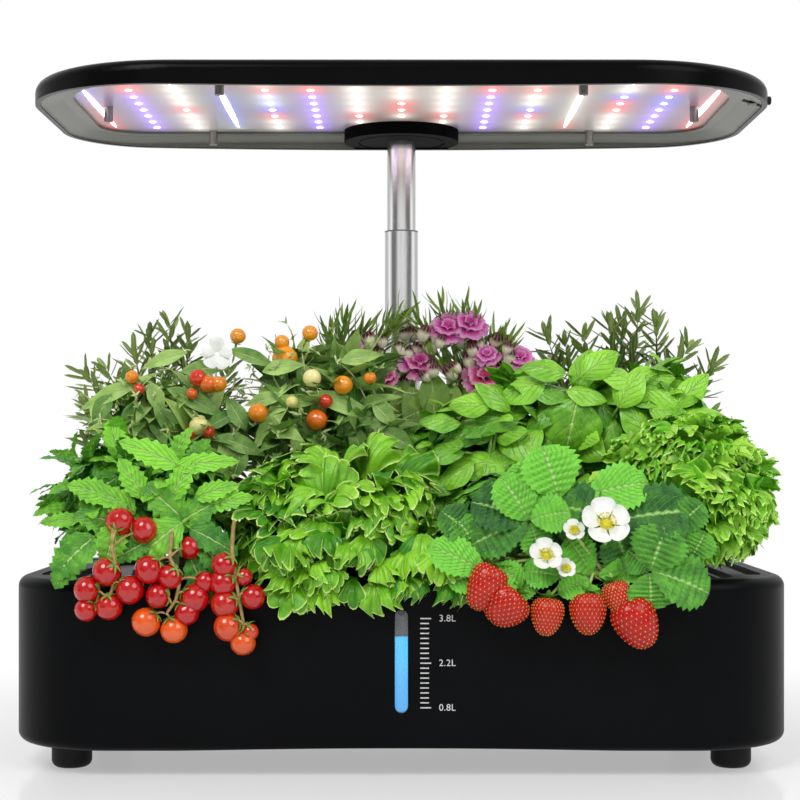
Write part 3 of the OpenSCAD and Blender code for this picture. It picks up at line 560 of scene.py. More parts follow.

# The board's white face has a painted glow, given as emission: a halo round each chip and a band
# along each strip.
CHIP_HALO_X, CHIP_HALO_Y, STRIP_HALO_X, STRIP_HALO_END = 5.6, 8.5, 4.5, 6
GLOW_POWER = 2.2
half_w, half_d = board_high[:2]
rows_y = np.linspace(-half_d, half_d, int(2 * half_d / BOARD_STEP))
cols_v = np.linspace(-1, 1, int(2 * half_w / BOARD_STEP))
grid_x = board_reach(rows_y)[:, None] * cols_v[None, :]
grid_y = np.repeat(rows_y[:, None], len(cols_v), 1)
halo = np.zeros(grid_x.shape + (3,))
for x, y, colour in chips:
    gap = np.hypot((grid_x - x) / CHIP_HALO_X, (grid_y - y) / CHIP_HALO_Y)
    halo += (np.exp(-gap) * 0.8 + np.exp(-gap ** 2) * 0.5)[..., None] * colour ** GLOW_POWER
for x, glows in strips:
    place = np.clip((grid_y + half_d) / (2 * half_d), 0, 1) * (len(glows) - 1)
    k = np.minimum(place.astype(int), len(glows) - 2)
    mixed = glows[k] + (place - k)[..., None] * (glows[k + 1] - glows[k])
    spread = (np.exp(-np.abs(grid_x - x) / STRIP_HALO_X)
              * (np.abs(grid_y) < row_y[-1] + STRIP_HALO_END))
    halo += spread[..., None] * (mixed ** GLOW_POWER) * 0.9
index = np.arange(grid_x.size).reshape(grid_x.shape)
under = np.stack([index[:-1, :-1], index[1:, :-1], index[1:, 1:], index[:-1, 1:]], -1)
board_mesh = mesh_of(
    "led_board_plate",
    np.stack([grid_x, grid_y, np.full(grid_x.shape, board_low[2])], -1).reshape(-1, 3),
    under.reshape(-1, 4).tolist())
paint(board_mesh, "glow", np.minimum(halo.reshape(-1, 3), 1.0))
board_finish, start, feed = new_material("board_finish", Roughness=0.3, Emission_Strength=0.75,
                                         Specular_IOR_Level=0.5)
glow = start.node("Attribute", {"attribute_name": "glow"}, output="Color")
mottle = noise(start, scale=18.0, detail=2.0).smooth(0.3, 0.7)
feed(Base_Color=mottle.blend(rgb(0.28, 0.272, 0.26), rgb(0.34, 0.33, 0.315)), Emission_Color=glow)
board_mesh.materials.append(board_finish)
plate = link_piece("led_board_plate", board_mesh, "lamp", "led_board", slot="board_aluminium")
thick = plate.modifiers.new("thickness", "SOLIDIFY")
thick.thickness = (board_high[2] - board_low[2]) / 1000
thick.offset = -1.0

# ---------------------------------------------------------------- net baskets
# Twelve slotted cups moulded in black polypropylene. Each hangs by its flange in one of
# the deck's holes and holds the sponge plug of a plant.
PODS = [f"{row}_{place}" for row in ("front", "middle", "back") for place in (1, 2, 3, 4)]
basket_finish = moulded("basket_finish", (0.008, 0.008, 0.009), roughness=0.5, grain=0.00003,
                        specular=0.3)
dress([f"basket_{pod}" for pod in PODS], basket_finish)

# ---------------------------------------------------------------- rosemary
# Woody rosemary at both ends of the back row: slender shoots set all round with
# needles. It is rooted in a sponge plug, as every plant here is.
PLUG_R, PLUG_END_R, PLUG_BEVEL, STEM_HOLE_R = 11.6, 10.8, 1.5, 2.5
PLUG_LIFT, PLUG_SINK = 1.6, 3.5
PLUG_SIDES, STALK_SIDES, STALK_TIP_R = 24, 6, 0.02
ROOT_STEM_R, ROOT_STEM_TOP_R = 2.6, 1.6


def unit(v):
    v = np.asarray(v, float)
    return v / np.linalg.norm(v)


def outward(axis, start, turn):
    """The way out from an axis, after a turn about it from the side that start fixes."""
    right = unit(np.cross(axis, start))
    return math.cos(turn) * right + math.sin(turn) * np.cross(axis, right)


def bowed(start, end, rise=(0, 0, 0), count=8):
    """A curve between two points that bows out by rise in its middle."""
    t = np.linspace(0, 1, count)[:, None]
    start, end = np.asarray(start, float), np.asarray(end, float)
    return start + t * (end - start) + 4 * t * (1 - t) * np.asarray(rise, float)


class Growth:
    """One plant's leaves, stalks and fruit, as sheets of points gathered into one mesh.

    Its finishes are given by kind, such as leaf or stem, and each sheet names its kind.
    """

    def __init__(self, **finishes):
        self.finishes = finishes
        self.points, self.marks, self.faces, self.kinds, self.count = [], [], [], [], 0

    def sheet(self, pts, along, across, tone, kind, closed=False):
        rows, cols = pts.shape[:2]
        index = self.count + np.arange(rows * cols).reshape(rows, cols)
        if closed:
            index = np.concatenate([index, index[:, :1]], 1)
        quads = np.stack([index[:-1, :-1], index[:-1, 1:], index[1:, 1:], index[1:, :-1]], -1)
        marks = [np.broadcast_to(v, (rows, cols)) for v in (along, across, tone)]
        self.points.append(pts.reshape(-1, 3))
        self.marks.append(np.stack(marks, -1).reshape(-1, 3))
        self.faces.append(quads.reshape(-1, 4))
        self.kinds.append(np.full(len(self.faces[-1]), list(self.finishes).index(kind)))
        self.count += rows * cols

    def stalk(self, path, thick, thin, kind="stem"):
        """A round stalk along a path, from thick to thin, closed at its tip."""
        path = np.asarray(path, float)
        ahead = np.gradient(path, axis=0)
        ahead /= np.linalg.norm(ahead, axis=1)[:, None]
        level = (0, 0, 1) if abs(ahead[:, 2].mean()) < 0.8 else (1, 0, 0)
        right = np.cross(ahead, level)
        right /= np.linalg.norm(right, axis=1)[:, None]
        front = np.cross(right, ahead)
        turn = np.linspace(0, 2 * np.pi, STALK_SIDES, endpoint=False)[None, :, None]
        girth = np.linspace(thick, thin, len(path))[:, None, None]
        girth[-1] = STALK_TIP_R
        ring = np.cos(turn) * front[:, None] + np.sin(turn) * right[:, None]
        self.sheet(path[:, None] + girth * ring, np.linspace(0, 1, len(path))[:, None], 0.0, 0.5,
                   kind, True)

    def fruit(self, centre, top, radius, half, kind, tone=0.5, rows=12, cols=18):
        """A round fruit whose stalk end points along top."""
        t = np.linspace(0, 1, rows + 1)[:, None]
        turn = np.linspace(0, 2 * np.pi, cols + 1)[None, :]
        top = unit(top)
        right = unit(np.cross(top, (0.1, 1, 0.05)))
        back = np.cross(top, right)
        girth = radius * np.sin(np.pi * t)
        ring = np.cos(turn)[..., None] * back + np.sin(turn)[..., None] * right
        pts = (np.asarray(centre) + girth[..., None] * ring
               + (half * np.cos(np.pi * t))[..., None] * top)
        self.sheet(pts, t, turn / (2 * np.pi), tone, kind)

    def rooted(self, pod, stem_top_z):
        """The sponge plug in a pod's basket, and the foot of the stem that grows from it."""
        low, high = box_mm(f"basket_{pod}")
        x, y = (low + high)[:2] / 2
        plug_low, plug_top = low[2] + PLUG_LIFT, high[2] - PLUG_SINK
        profile = [(0.1, plug_low), (PLUG_END_R, plug_low), (PLUG_R, plug_low + PLUG_BEVEL),
                   (PLUG_R, plug_top - PLUG_BEVEL), (PLUG_END_R, plug_top),
                   (STEM_HOLE_R, plug_top), (0.1, plug_top + 0.3)]
        turn = np.linspace(0, 2 * np.pi, PLUG_SIDES, endpoint=False)
        pts = np.array([[(x + r * np.cos(a), y - r * np.sin(a), z) for a in turn]
                        for r, z in profile])
        self.sheet(pts, 0.5, 0.0, 0.5, "sponge", True)
        self.stalk(bowed((x, y, plug_top - 2), (x, y, stem_top_z), (0.8, 0, 0)), ROOT_STEM_R,
                   ROOT_STEM_TOP_R)
        return np.array([x, y, plug_top])

    def piece(self, name, pod, nodes, slot):
        """The finished mesh, riding in its pod in place of the plain nodes."""
        made = bpy.data.meshes.new(name)
        points, faces = np.concatenate(self.points) / 1000, np.concatenate(self.faces)
        made.vertices.add(len(points))
        made.vertices.foreach_set("co", points.ravel())
        made.loops.add(faces.size)
        made.loops.foreach_set("vertex_index", faces.ravel())
        made.polygons.add(len(faces))
        made.polygons.foreach_set("loop_start", np.arange(0, faces.size, 4))
        made.update(calc_edges=True)
        made.polygons.foreach_set("material_index", np.concatenate(self.kinds))
        made.polygons.foreach_set("use_smooth", np.ones(len(faces), bool))
        marks = made.attributes.new("mark", "FLOAT_VECTOR", "POINT")
        marks.data.foreach_set("vector", np.concatenate(self.marks).ravel())
        for finish in self.finishes.values():
            made.materials.append(finish)
        link_piece(name, made, f"pod_{pod}", *nodes.split(), slot=slot)


class Blade:
    """How one kind of leaf grows: its outline, fold, droop, margin and side veins."""

    def __init__(self, widest=0.45, slim=1.0, fold=0.25, droop=0.6, ruffle=0.0, waves=3.0,
                 quilt=0.0, veins=6.0, slant=0.45, teeth=0, tooth=0.0, rows=12, cols=6):
        self.power = math.log(0.5) / math.log(widest)
        self.slim, self.fold, self.droop = slim, fold, droop
        self.ruffle, self.waves, self.quilt = ruffle, waves, quilt
        self.veins, self.slant, self.teeth, self.tooth = veins, slant, teeth, tooth
        self.rows, self.cols = rows, cols

    def grow(self, plant, base, aim, face, length, width, kind="leaf", tone=0.5, phase=0.0,
             droop=None):
        """One leaf from its base along aim, with its upper side turned towards face."""
        t = np.linspace(0, 1, self.rows + 1)[:, None]
        u = np.linspace(-1, 1, self.cols + 1)[None, :]
        aim = unit(aim)
        side = unit(np.cross(aim, face))
        top = np.cross(side, aim)
        turn = (self.droop if droop is None else droop) * t
        heading = np.cos(turn) * aim - np.sin(turn) * top
        lift = np.cos(turn) * top + np.sin(turn) * aim
        rib = np.asarray(base) + length * (np.cumsum(heading, 0) - heading) / self.rows
        spread = np.abs(np.sin(np.pi * t ** self.power)) ** self.slim
        saw = (self.teeth * t) % 1.0
        reach = 0.5 * width * spread * u * (1 - self.tooth * saw * u ** 4)
        swell = np.abs(np.sin(np.pi * self.veins * (t - self.slant * np.abs(u)))) * (1 - u ** 4)
        wave = np.sin(2 * np.pi * (self.waves * t + 0.25 * np.sign(u)) + phase)
        height = (np.abs(reach) * math.tan(self.fold) + width * self.quilt * swell * spread
                  + width * self.ruffle * wave * u ** 2 * spread)
        slip = self.tooth * (1 - saw) * u ** 4 * spread * length / max(self.teeth, 1)
        pts = (rib[:, None] + reach[..., None] * side + height[..., None] * lift[:, None]
               + slip[..., None] * heading[:, None])
        plant.sheet(pts, t, u, tone, kind)


def shade(red, green, blue):
    """A colour from its screen values, 0 to 255."""
    return rgb(*[((c / 255 + 0.055) / 1.055) ** 2.4 if c > 10 else c / 255 / 12.92
                 for c in (red, green, blue)])


def marks_of(start):
    """Where a point lies along and across its leaf or fruit, and the tone of that piece."""
    mark = start.node("Attribute", {"attribute_name": "mark"}, output="Vector")
    along = start.node("SeparateXYZ", {}, {0: mark}, "X")
    return along, along.other("Y"), along.other("Z")


def leaf_finish(name, deep, bright, vein, veins=6.0, slant=0.45, line=0.07, gloss=0.4,
                pucker=0.0004, margin=None, specular=0.35):
    """A leaf: mottled between two greens, with a midrib, side veins and a paler margin."""
    finish, start, feed = new_material(name, Specular_IOR_Level=specular)
    along, across, tone = marks_of(start)
    across = across.absolute()
    mottle = noise(start, scale=160.0, detail=3.0).smooth(0.25, 0.75)
    green = (tone * 0.75 + mottle * 0.3).smooth(0.0, 1.0).blend(deep, bright)
    run = (along - across * slant) * veins
    near = (run.math("FRACT", run) - 0.5).absolute()
    lateral = near.smooth(0.5 - line * 1.6, 0.5) * (1 - across).smooth(0.0, 0.5)
    midrib = (1 - across).smooth(1 - line * 1.4, 1.0)
    ribs = lateral * 0.45 + midrib * 0.75
    if margin:
        edge = (across.smooth(0.93, 1.0) + along.smooth(0.94, 1.0)).smooth(0.0, 1.0)
        green = edge.blend(green, margin)
    grain = noise(start, scale=900.0, detail=3.0)
    height = grain * 0.25 + mottle * 0.5 - ribs
    feed(Base_Color=ribs.smooth(0.0, 1.0).blend(green, vein), Roughness=mottle * 0.12 + gloss,
         Normal=bump(height, pucker))
    return finish


def plain_finish(name, first, second, roughness=0.5, scale=300.0, grain=0.0002):
    """Stems, sponge and other parts whose colour wanders between two shades."""
    finish, start, feed = new_material(name, Specular_IOR_Level=0.35)
    cloud = noise(start, scale=scale, detail=4.0)
    feed(Base_Color=cloud.smooth(0.3, 0.7).blend(first, second),
         Roughness=cloud * 0.15 + roughness - 0.07, Normal=bump(cloud, grain))
    return finish


sponge = plain_finish("sponge", shade(46, 38, 30), shade(74, 62, 50), roughness=0.9, scale=700.0,
                      grain=0.0006)
bark = plain_finish("bark", shade(84, 74, 44), shade(120, 122, 70), roughness=0.8, scale=500.0)
needle_finish = leaf_finish("needle_finish", shade(76, 104, 48), shade(162, 188, 106),
                            shade(196, 212, 144), veins=0.5, slant=0.0, line=0.18, gloss=0.4,
                            pucker=0.0002)
NEEDLE = Blade(widest=0.5, slim=0.35, fold=0.35, droop=-0.3, rows=6, cols=2)
NEEDLE_LENGTH, NEEDLE_WIDTH, NEEDLE_PITCH = 19.0, 3.3, 3.0
NEEDLE_OPEN, NEEDLE_WIDER = 0.78, 0.42
BARE_FOOT = 0.22
GOLDEN_TURN = 2.4
SHOOT_SIDE = (0.3, 0.9, 0.1)
SHOOT_TIPS = {
    "left": [(-138, 72, 239), (-150, 74, 232), (-176, 70, 212), (-186, 58, 208), (-104, 84, 212),
             (-146, 112, 218), (-186, 62, 168), (-160, 56, 200), (-122, 60, 188), (-172, 92, 178),
             (-118, 108, 190), (-158, 66, 222), (-187, 78, 182), (-178, 50, 146), (-128, 88, 232),
             (-184, 54, 190)],
    "right": [(141, 70, 246), (124, 76, 238), (108, 78, 232), (170, 66, 224), (183, 60, 212),
              (142, 112, 226), (182, 62, 172), (156, 58, 214), (122, 62, 206), (174, 92, 182),
              (116, 108, 204), (150, 68, 240), (182, 76, 182), (160, 74, 196), (132, 84, 238),
              (86, 80, 232), (97, 76, 226), (90, 92, 214)],
}
for place, pod, seed in (("left", "back_1", 11), ("right", "back_4", 12)):
    rng = np.random.default_rng(seed)
    plant = Growth(leaf=needle_finish, stem=bark, sponge=sponge)
    foot = plant.rooted(pod, 112)
    for tip in SHOOT_TIPS[place]:
        lean = rng.normal(0, 3.0, 3) * (1, 1, 0.2)
        path = bowed(foot, tip, lean - 0.06 * (np.array(tip) - foot) * (1, 1, -0.4), count=48)
        plant.stalk(path[::3], 1.3, 0.5)
        run = np.concatenate([[0], np.cumsum(np.linalg.norm(np.diff(path, axis=0), axis=1))])
        for i, place_on in enumerate(np.arange(BARE_FOOT * run[-1], run[-1], NEEDLE_PITCH / 2)):
            k = min(np.searchsorted(run, place_on), len(path) - 2)
            ahead = unit(path[k + 1] - path[k - 1])
            out = outward(ahead, SHOOT_SIDE, GOLDEN_TURN * i + rng.normal(0, 0.3))
            to_tip = 1 - place_on / run[-1]
            grown = min(to_tip * 5, 1)
            open_angle = NEEDLE_OPEN + NEEDLE_WIDER * grown + rng.normal(0, 0.18)
            aim = math.cos(open_angle) * ahead + math.sin(open_angle) * out
            length = NEEDLE_LENGTH * (0.7 + 0.3 * grown) * rng.uniform(0.7, 1.15)
            NEEDLE.grow(plant, path[k], aim, ahead, length, NEEDLE_WIDTH,
                        tone=rng.uniform(0.1, 0.6) + 0.4 * (to_tip < 0.15))
    plant.piece(f"rosemary_bush_{place}", pod, f"rosemary_{place}", "leaf_rosemary")

# ---------------------------------------------------------------- dianthus
# Two cushions of dianthus between them: narrow waxy leaves, and heads of double
# flowers and striped buds in magenta, pink and cream.
def seen_size(pixels, depth):
    """The millimetres that a length in pixels takes up at a depth along Y."""
    return pixels * (depth - 1000 * EYE.y) / FOCAL_PX


def fan(plant, base, aim, face, length, spread, amp, waves, kind="leaf", tone=0.5, droop=0.8,
        curl=0.6, fringe=0.0, teeth=0, rows=12, cols=36, phase=0.0, cup=0.0):
    """A leaf or petal that opens like a fan, with its free edge ruffled and fringed."""
    t = np.linspace(0, 1, rows + 1)[:, None]
    u = np.linspace(-1, 1, cols + 1)[None, :]
    aim = unit(aim)
    side = unit(np.cross(aim, face))
    top = np.cross(side, aim)
    turn = droop * t + curl * t ** 4
    ahead = np.cumsum(np.cos(turn), 0) / rows
    down = np.cumsum(np.sin(turn), 0) / rows
    angle = spread * u
    lobes = 0.07 * np.sin(0.3 * waves * angle + 2.1 * phase) * t ** 3
    rim = 1 - 0.2 * u ** 4 + lobes + fringe * np.abs(((teeth * u) % 1.0) - 0.5) * t ** 6
    radius = length * rim
    wave = 0.75 * np.sin(waves * angle + phase) * t ** 3.5 + 0.9 * np.sin(
        0.37 * waves * angle + 1.7 * phase + 1.5 * t) * t ** 2
    height = amp * length * wave + cup * length * t ** 2 * u ** 2
    along = radius * ahead * np.cos(angle)
    sideways = radius * ahead * np.sin(angle) + 0.5 * amp * length * t ** 5 * np.cos(
        waves * angle + 2.0 * phase)
    height = height - radius * down
    pts = (np.asarray(base) + along[..., None] * aim + sideways[..., None] * side
           + height[..., None] * top)
    plant.sheet(pts, t, u, tone, kind)


def seen_all(marks, depth):
    """Places from pixels: each mark is a pixel and what follows it."""
    return [(seen(px, py, depth), *rest) for px, py, *rest in marks]


def canopy(rng, mounds, count, reach=1.0, low=-0.35):
    """Random places on the outside of a plant's rounded masses, with their outward ways."""
    places = []
    area = np.array([m[3] * m[4] for m in mounds], float)
    while len(places) < count:
        k = rng.choice(len(mounds), p=area / area.sum())
        x, y, z, r, h = mounds[k]
        way = unit(rng.normal(size=3))
        if way[2] < low:
            continue
        spot = np.array([x, y, z]) + reach * way * (r, r, h)
        hidden = any(np.linalg.norm((spot - m[:3]) / (m[3], m[3], m[4])) < 0.93 * reach
                     for j, m in enumerate(mounds) if j != k)
        if not hidden:
            places.append((spot, unit(way / (r, r, h))))
    return places


def fill_inside(plant, rng, blade, mounds, count, length, width):
    """Broad leaves deep in a plant, which close its gaps, kept dark by a low tone as painted
    shade.
    """
    for spot, out in canopy(rng, mounds, count, reach=0.62, low=-0.9):
        aim = unit(np.cross(out, rng.normal(0, 1, 3)))
        # Their low tone is painted shade of the plant's inside.
        blade.grow(plant, spot - aim * length / 2, aim, out, length, width,
                   tone=rng.uniform(-0.3, 0.2), droop=0.5)


def laid_leaf(plant, blade, mark, depth, nearer=4.0):
    """A leaf that lies open to the front, from its base's pixel to its tip's."""
    base_px, base_py, tip_px, tip_py, width, tone = mark
    base, tip = seen(base_px, base_py, depth), seen(tip_px, tip_py, depth - nearer)
    blade.grow(plant, base, tip - base, (0.05, -1, 0.4), 1.12 * np.linalg.norm(tip - base),
               width, tone=tone, phase=9 * tone, droop=0.5)
    return base


petal_finish, start, feed = new_material("petal_finish", Specular_IOR_Level=0.2)
along, _, tone = marks_of(start)
hue = tone.blend(shade(198, 4, 84), shade(224, 60, 178))
streaks = noise(start, scale=700.0, detail=3.0).smooth(0.35, 0.65)
pale = along.smooth(0.6, 1.0) * 0.55 + streaks * 0.18
feed(Base_Color=pale.blend(hue, shade(246, 206, 238)), Roughness=streaks * 0.1 + 0.5,
     Normal=bump(streaks, 0.0002))

bud_finish, start, feed = new_material("bud_finish", Specular_IOR_Level=0.25)
along, across, _ = marks_of(start)
stripe = across.math("SINE", across * 50.0).smooth(-0.3, 0.9)
wine = along.smooth(0.48, 0.68).blend(shade(255, 250, 226), shade(74, 8, 34))
feed(Base_Color=(stripe * along.smooth(0.2, 0.7) * 0.3).blend(wine, shade(240, 190, 180)),
     Roughness=stripe * 0.1 + 0.45, Normal=bump(stripe, 0.0002))
spear_finish = leaf_finish("spear_finish", shade(86, 130, 44), shade(168, 204, 92),
                           shade(190, 218, 136), veins=0.5, slant=0.0, line=0.08, gloss=0.45)
stem_finish = plain_finish("stem_finish", shade(120, 160, 60), shade(172, 204, 104),
                           roughness=0.45)

SPEAR = Blade(widest=0.4, slim=0.7, fold=0.35, droop=0.7, rows=8, cols=2)
BROAD = Blade(widest=0.45, slim=0.9, fold=0.25, droop=0.5, rows=12, cols=6)
HEAD_DEPTH = {"left": 52, "right": 44}
FLOWERS = {
    "left": [(353, 349, 12, 0.8), (384, 376, 13, 0.1), (420, 363, 18, 0.5)],
    "right": [(448, 328, 17, 0.8), (470, 324, 16, 1.0), (485, 378, 20, 0.3), (520, 358, 14, 1.0),
              (487, 355, 12, 0.9)],
}
BUDS = {
    "left": [(370, 340), (368, 350), (345, 358), (400, 350), (417, 350), (378, 354), (356, 338),
             (411, 333), (413, 371), (400, 371), (392, 362), (364, 362)],
    "right": [(424, 334), (445, 339), (427, 373), (450, 373), (453, 381), (469, 360), (501, 348),
              (510, 358), (502, 369), (505, 390), (479, 407), (460, 340), (436, 326), (431, 346),
              (466, 372), (496, 340), (478, 344), (516, 374)],
}
BUD_R = 3.9
# Broad leaves that lie open to the front: pixels of base and tip, width, tone
BROAD_LEAVES = {
    "left": [(392, 432, 384, 388, 16, 0.2), (372, 425, 352, 386, 14, 0.4),
             (404, 430, 404, 386, 17, 0.5), (386, 430, 366, 396, 15, 0.1)],
    "right": [(440, 428, 452, 386, 22, 0.5), (424, 432, 412, 390, 19, 0.3),
              (472, 428, 494, 394, 18, 0.3), (452, 432, 436, 392, 22, 0.05),
              (488, 424, 470, 386, 17, 0.6), (412, 432, 426, 396, 18, 0.7),
              (500, 420, 512, 384, 14, 0.2), (455, 430, 478, 398, 20, 0.2),
              (436, 420, 432, 374, 18, 0.4)],
}
SPRIGS = {"left": [(345, 318), (403, 312), (330, 330), (392, 322), (366, 326)],
          "right": [(440, 304), (462, 308), (498, 335), (416, 318), (474, 316), (508, 342)]}
SPRIG_POINTS, SPRIG_BARE, SPRIG_LEAVES = 24, 9, 30
CUSHION_Z, CUSHION_R, CUSHION_HALF = 165, 25.0, 52.0
# Petals in a ring, their size against the flower's radius, and how steeply they rise
PETAL_RINGS = ((9, 1.0, 0.25), (8, 0.8, 0.7), (6, 0.55, 1.2))


def double_flower(plant, centre, face, radius, tone, rng):
    """Three rings of fringed petals, the inner ones steeper."""
    face = unit(face)
    for ring, (count, size, rise) in enumerate(PETAL_RINGS):
        for i in range(count):
            turn = 2 * math.pi * (i + 0.5 * ring) / count + rng.normal(0, 0.15)
            aim = outward(face, (0.2, 0.1, 1), turn) + math.tan(rise) * face
            fan(plant, np.asarray(centre) - 0.1 * radius * face, aim, face, radius * size,
                spread=0.5, amp=0.12, waves=7.0, kind="petal",
                tone=tone + rng.uniform(-0.2, 0.2), droop=0.35, curl=0.4, fringe=0.22, teeth=3,
                rows=5, cols=10, phase=rng.uniform(0, 6))


for place, pod, seed in (("left", "back_2", 21), ("right", "back_3", 22)):
    rng = np.random.default_rng(seed)
    plant = Growth(leaf=spear_finish, stem=stem_finish, petal=petal_finish, bud=bud_finish,
                   sponge=sponge)
    foot = plant.rooted(pod, 140)
    middle = np.array([foot[0], foot[1] + 2, CUSHION_Z])
    mounds = [(*middle, CUSHION_R, CUSHION_HALF)]
    spots = canopy(rng, mounds, 110, reach=1.0, low=-0.2)
    spots += canopy(rng, mounds, 60, reach=0.7, low=0.1)
    for spot, out in spots:
        aim = out * (1, 1, 0.3) + (0, 0, 0.9) + rng.normal(0, 0.25, 3)
        length = rng.uniform(22, 34)
        base = spot - unit(aim) * length * 0.8
        SPEAR.grow(plant, base, aim, out + (0, 0, 0.3), length, rng.uniform(4.5, 9.0),
                   tone=rng.uniform(0.1, 0.9))
    depth = HEAD_DEPTH[place]
    for spot, in seen_all(SPRIGS[place], depth - 4):
        path = bowed(middle + (0, 0, 10), spot, (0, 2, 4), count=SPRIG_POINTS)
        plant.stalk(path[::3], 1.0, 0.6)
        for i in range(SPRIG_LEAVES):
            k = SPRIG_BARE + int((SPRIG_POINTS - SPRIG_BARE - 1) * i / SPRIG_LEAVES)
            ahead = unit(path[k] - path[k - 1])
            out = outward(ahead, SHOOT_SIDE, GOLDEN_TURN * i)
            SPEAR.grow(plant, path[k], ahead + out * rng.uniform(0.5, 1.1), out,
                       rng.uniform(13, 20), 2.3, tone=rng.uniform(0.2, 1.0), droop=0.4)
    for mark in BROAD_LEAVES[place]:
        laid_leaf(plant, BROAD, mark, depth - 6)
    for spot, size, tone in seen_all(FLOWERS[place], depth - 8):
        face = (0.1 * rng.normal(), -0.75, 0.65)
        double_flower(plant, spot, face, seen_size(size, depth - 8), tone, rng)
        plant.stalk(bowed(middle, spot, (0, 4, 6)), 1.9, 1.3)
    for spot, in seen_all(BUDS[place], depth - 4):
        spot = spot + (0, rng.uniform(-6, 8), 0)
        lean = unit((rng.normal(0, 0.35), rng.normal(-0.3, 0.3), 1))
        plant.fruit(spot, -lean, BUD_R, BUD_R * 1.35, kind="bud", tone=rng.uniform(),
                    rows=8, cols=12)
        plant.stalk(bowed(middle + (0, 0, 12), spot - lean * BUD_R, (0, 2, 3)), 1.0, 0.9)
        for _ in range(5):
            way = rng.normal(0, 0.7, 3) + lean
            SPEAR.grow(plant, spot - lean * (BUD_R + 1.5), way, -lean, 10, 3.4,
                       tone=rng.uniform(0, 1))
        for _ in range(2):
            near = spot + rng.normal(0, 1, 3) * (5.5, 3, 4)
            plant.fruit(near, -lean, BUD_R * 0.8, BUD_R * 1.1, kind="bud", tone=rng.uniform(),
                        rows=8, cols=12)
    plant.piece(f"dianthus_bush_{place}", pod, f"dianthus_{place}", "leaf_dianthus")

# ---------------------------------------------------------------- ornamental peppers
# Two bushy peppers with long drooping leaves on thin branching stems. Their round
# fruits turn from cream through orange to red, and a white flower shows among them.
pepper_leaf = leaf_finish("pepper_leaf", shade(70, 124, 44), shade(180, 218, 120),
                          shade(222, 236, 170), veins=7.0, slant=0.5, line=0.06, gloss=0.36,
                          pucker=0.0004)
twig = plain_finish("twig", shade(150, 180, 96), shade(208, 222, 160), roughness=0.5)


def ripe_finish(name, deep, bright, blush):
    """Shiny skin of a fruit, paler towards its stalk and mottled a little."""
    finish, start, feed = new_material(name, Specular_IOR_Level=0.5, Coat_Weight=0.6,
                                       Coat_Roughness=0.06)
    along, _, tone = marks_of(start)
    cloud = noise(start, scale=220.0, detail=3.0)
    skin = (tone + (cloud - 0.5) * 0.3).smooth(0.0, 1.0).blend(deep, bright)
    feed(Base_Color=((1 - along).smooth(0.7, 1.0) * 0.6).blend(skin, blush),
         Roughness=cloud * 0.1 + 0.12, Normal=bump(cloud, 0.0001))
    return finish


orange_skin = ripe_finish("orange_skin", shade(214, 52, 14), shade(250, 164, 24),
                          shade(240, 190, 60))
cream_skin = ripe_finish("cream_skin", shade(214, 200, 84), shade(246, 236, 160),
                         shade(190, 200, 90))
white_petal = plain_finish("white_petal", shade(232, 236, 228), shade(250, 250, 248),
                           roughness=0.5, scale=200.0)

PEPPER_BLADE = Blade(widest=0.42, slim=1.15, fold=0.3, droop=0.9, ruffle=0.05, waves=2.0,
                     quilt=0.02, veins=7, slant=0.5, rows=14, cols=6)
# Each fruit: pixel, radius in pixels, and its colour from 0 red to 1 golden; cream is 2
PEPPERS = {
    "pepper_left": [(132, 377, 7, 0.6), (139, 389, 6, 0.1), (198, 378, 9, 0.0),
                    (208, 384, 9, 0.4), (219, 384, 8, 0.55), (192, 394, 6, 0.3),
                    (199, 426, 10, 2.0), (191, 433, 7, 0.2), (208, 432, 7, 0.1),
                    (238, 336, 8, 0.8)],
    "pepper_right": [(282, 342, 7.5, 0.9), (285, 358, 13, 0.95), (310, 333, 8, 0.85),
                     (312, 378, 9.5, 2.0), (343, 385, 10, 0.75), (370, 378, 6.5, 0.6),
                     (258, 413, 10, 0.6), (292, 402, 6.5, 1.6), (326, 401, 7, 0.0),
                     (317, 420, 11, 0.4)],
}
# Each leaf that lies open to the front: pixels of its base and its tip, width, tone
PEPPER_FRONT = {
    "pepper_left": [(142, 382, 79, 404, 11, 0.75), (150, 382, 162, 412, 11, 0.7),
                    (153, 403, 184, 440, 12, 0.35), (166, 388, 224, 412, 12, 0.3),
                    (180, 372, 226, 364, 11, 0.4), (112, 394, 92, 422, 12, 0.3),
                    (176, 440, 206, 450, 12, 0.85), (208, 428, 232, 412, 10, 0.1),
                    (188, 352, 142, 364, 10, 0.8), (216, 436, 263, 451, 12, 0.3),
                    (136, 400, 130, 436, 15, 0.1), (150, 420, 118, 440, 13, 0.4),
                    (232, 470, 222, 440, 12, 0.6)],
    "pepper_right": [(282, 410, 253, 446, 11, 0.75), (284, 396, 246, 402, 10, 0.6),
                     (297, 396, 266, 412, 10, 0.9), (308, 392, 380, 416, 13, 0.65),
                     (352, 425, 364, 458, 12, 0.3), (336, 436, 368, 416, 11, 0.2),
                     (330, 444, 300, 428, 11, 0.4), (228, 350, 274, 362, 10, 0.25),
                     (244, 446, 232, 478, 13, 0.3), (262, 372, 300, 362, 11, 0.7),
                     (340, 362, 378, 352, 11, 0.6), (372, 402, 396, 424, 12, 0.5),
                     (246, 430, 228, 398, 12, 0.2), (380, 430, 414, 446, 13, 0.3)],
}
PEPPER_FLOWER, PEPPER_PETAL = (217, 354), 7.6
PEPPER_DEPTH = -22
SEPALS = 5


def crown(node, radius, low_z):
    """The two rounded masses that a bush fills: centre, plan radius and half height."""
    low, high = box_mm(node)
    return [(x, (low[1] + high[1]) / 2, (low_z + high[2]) / 2, radius, (high[2] - low_z) / 2)
            for x in (low[0] + radius, high[0] - radius)]


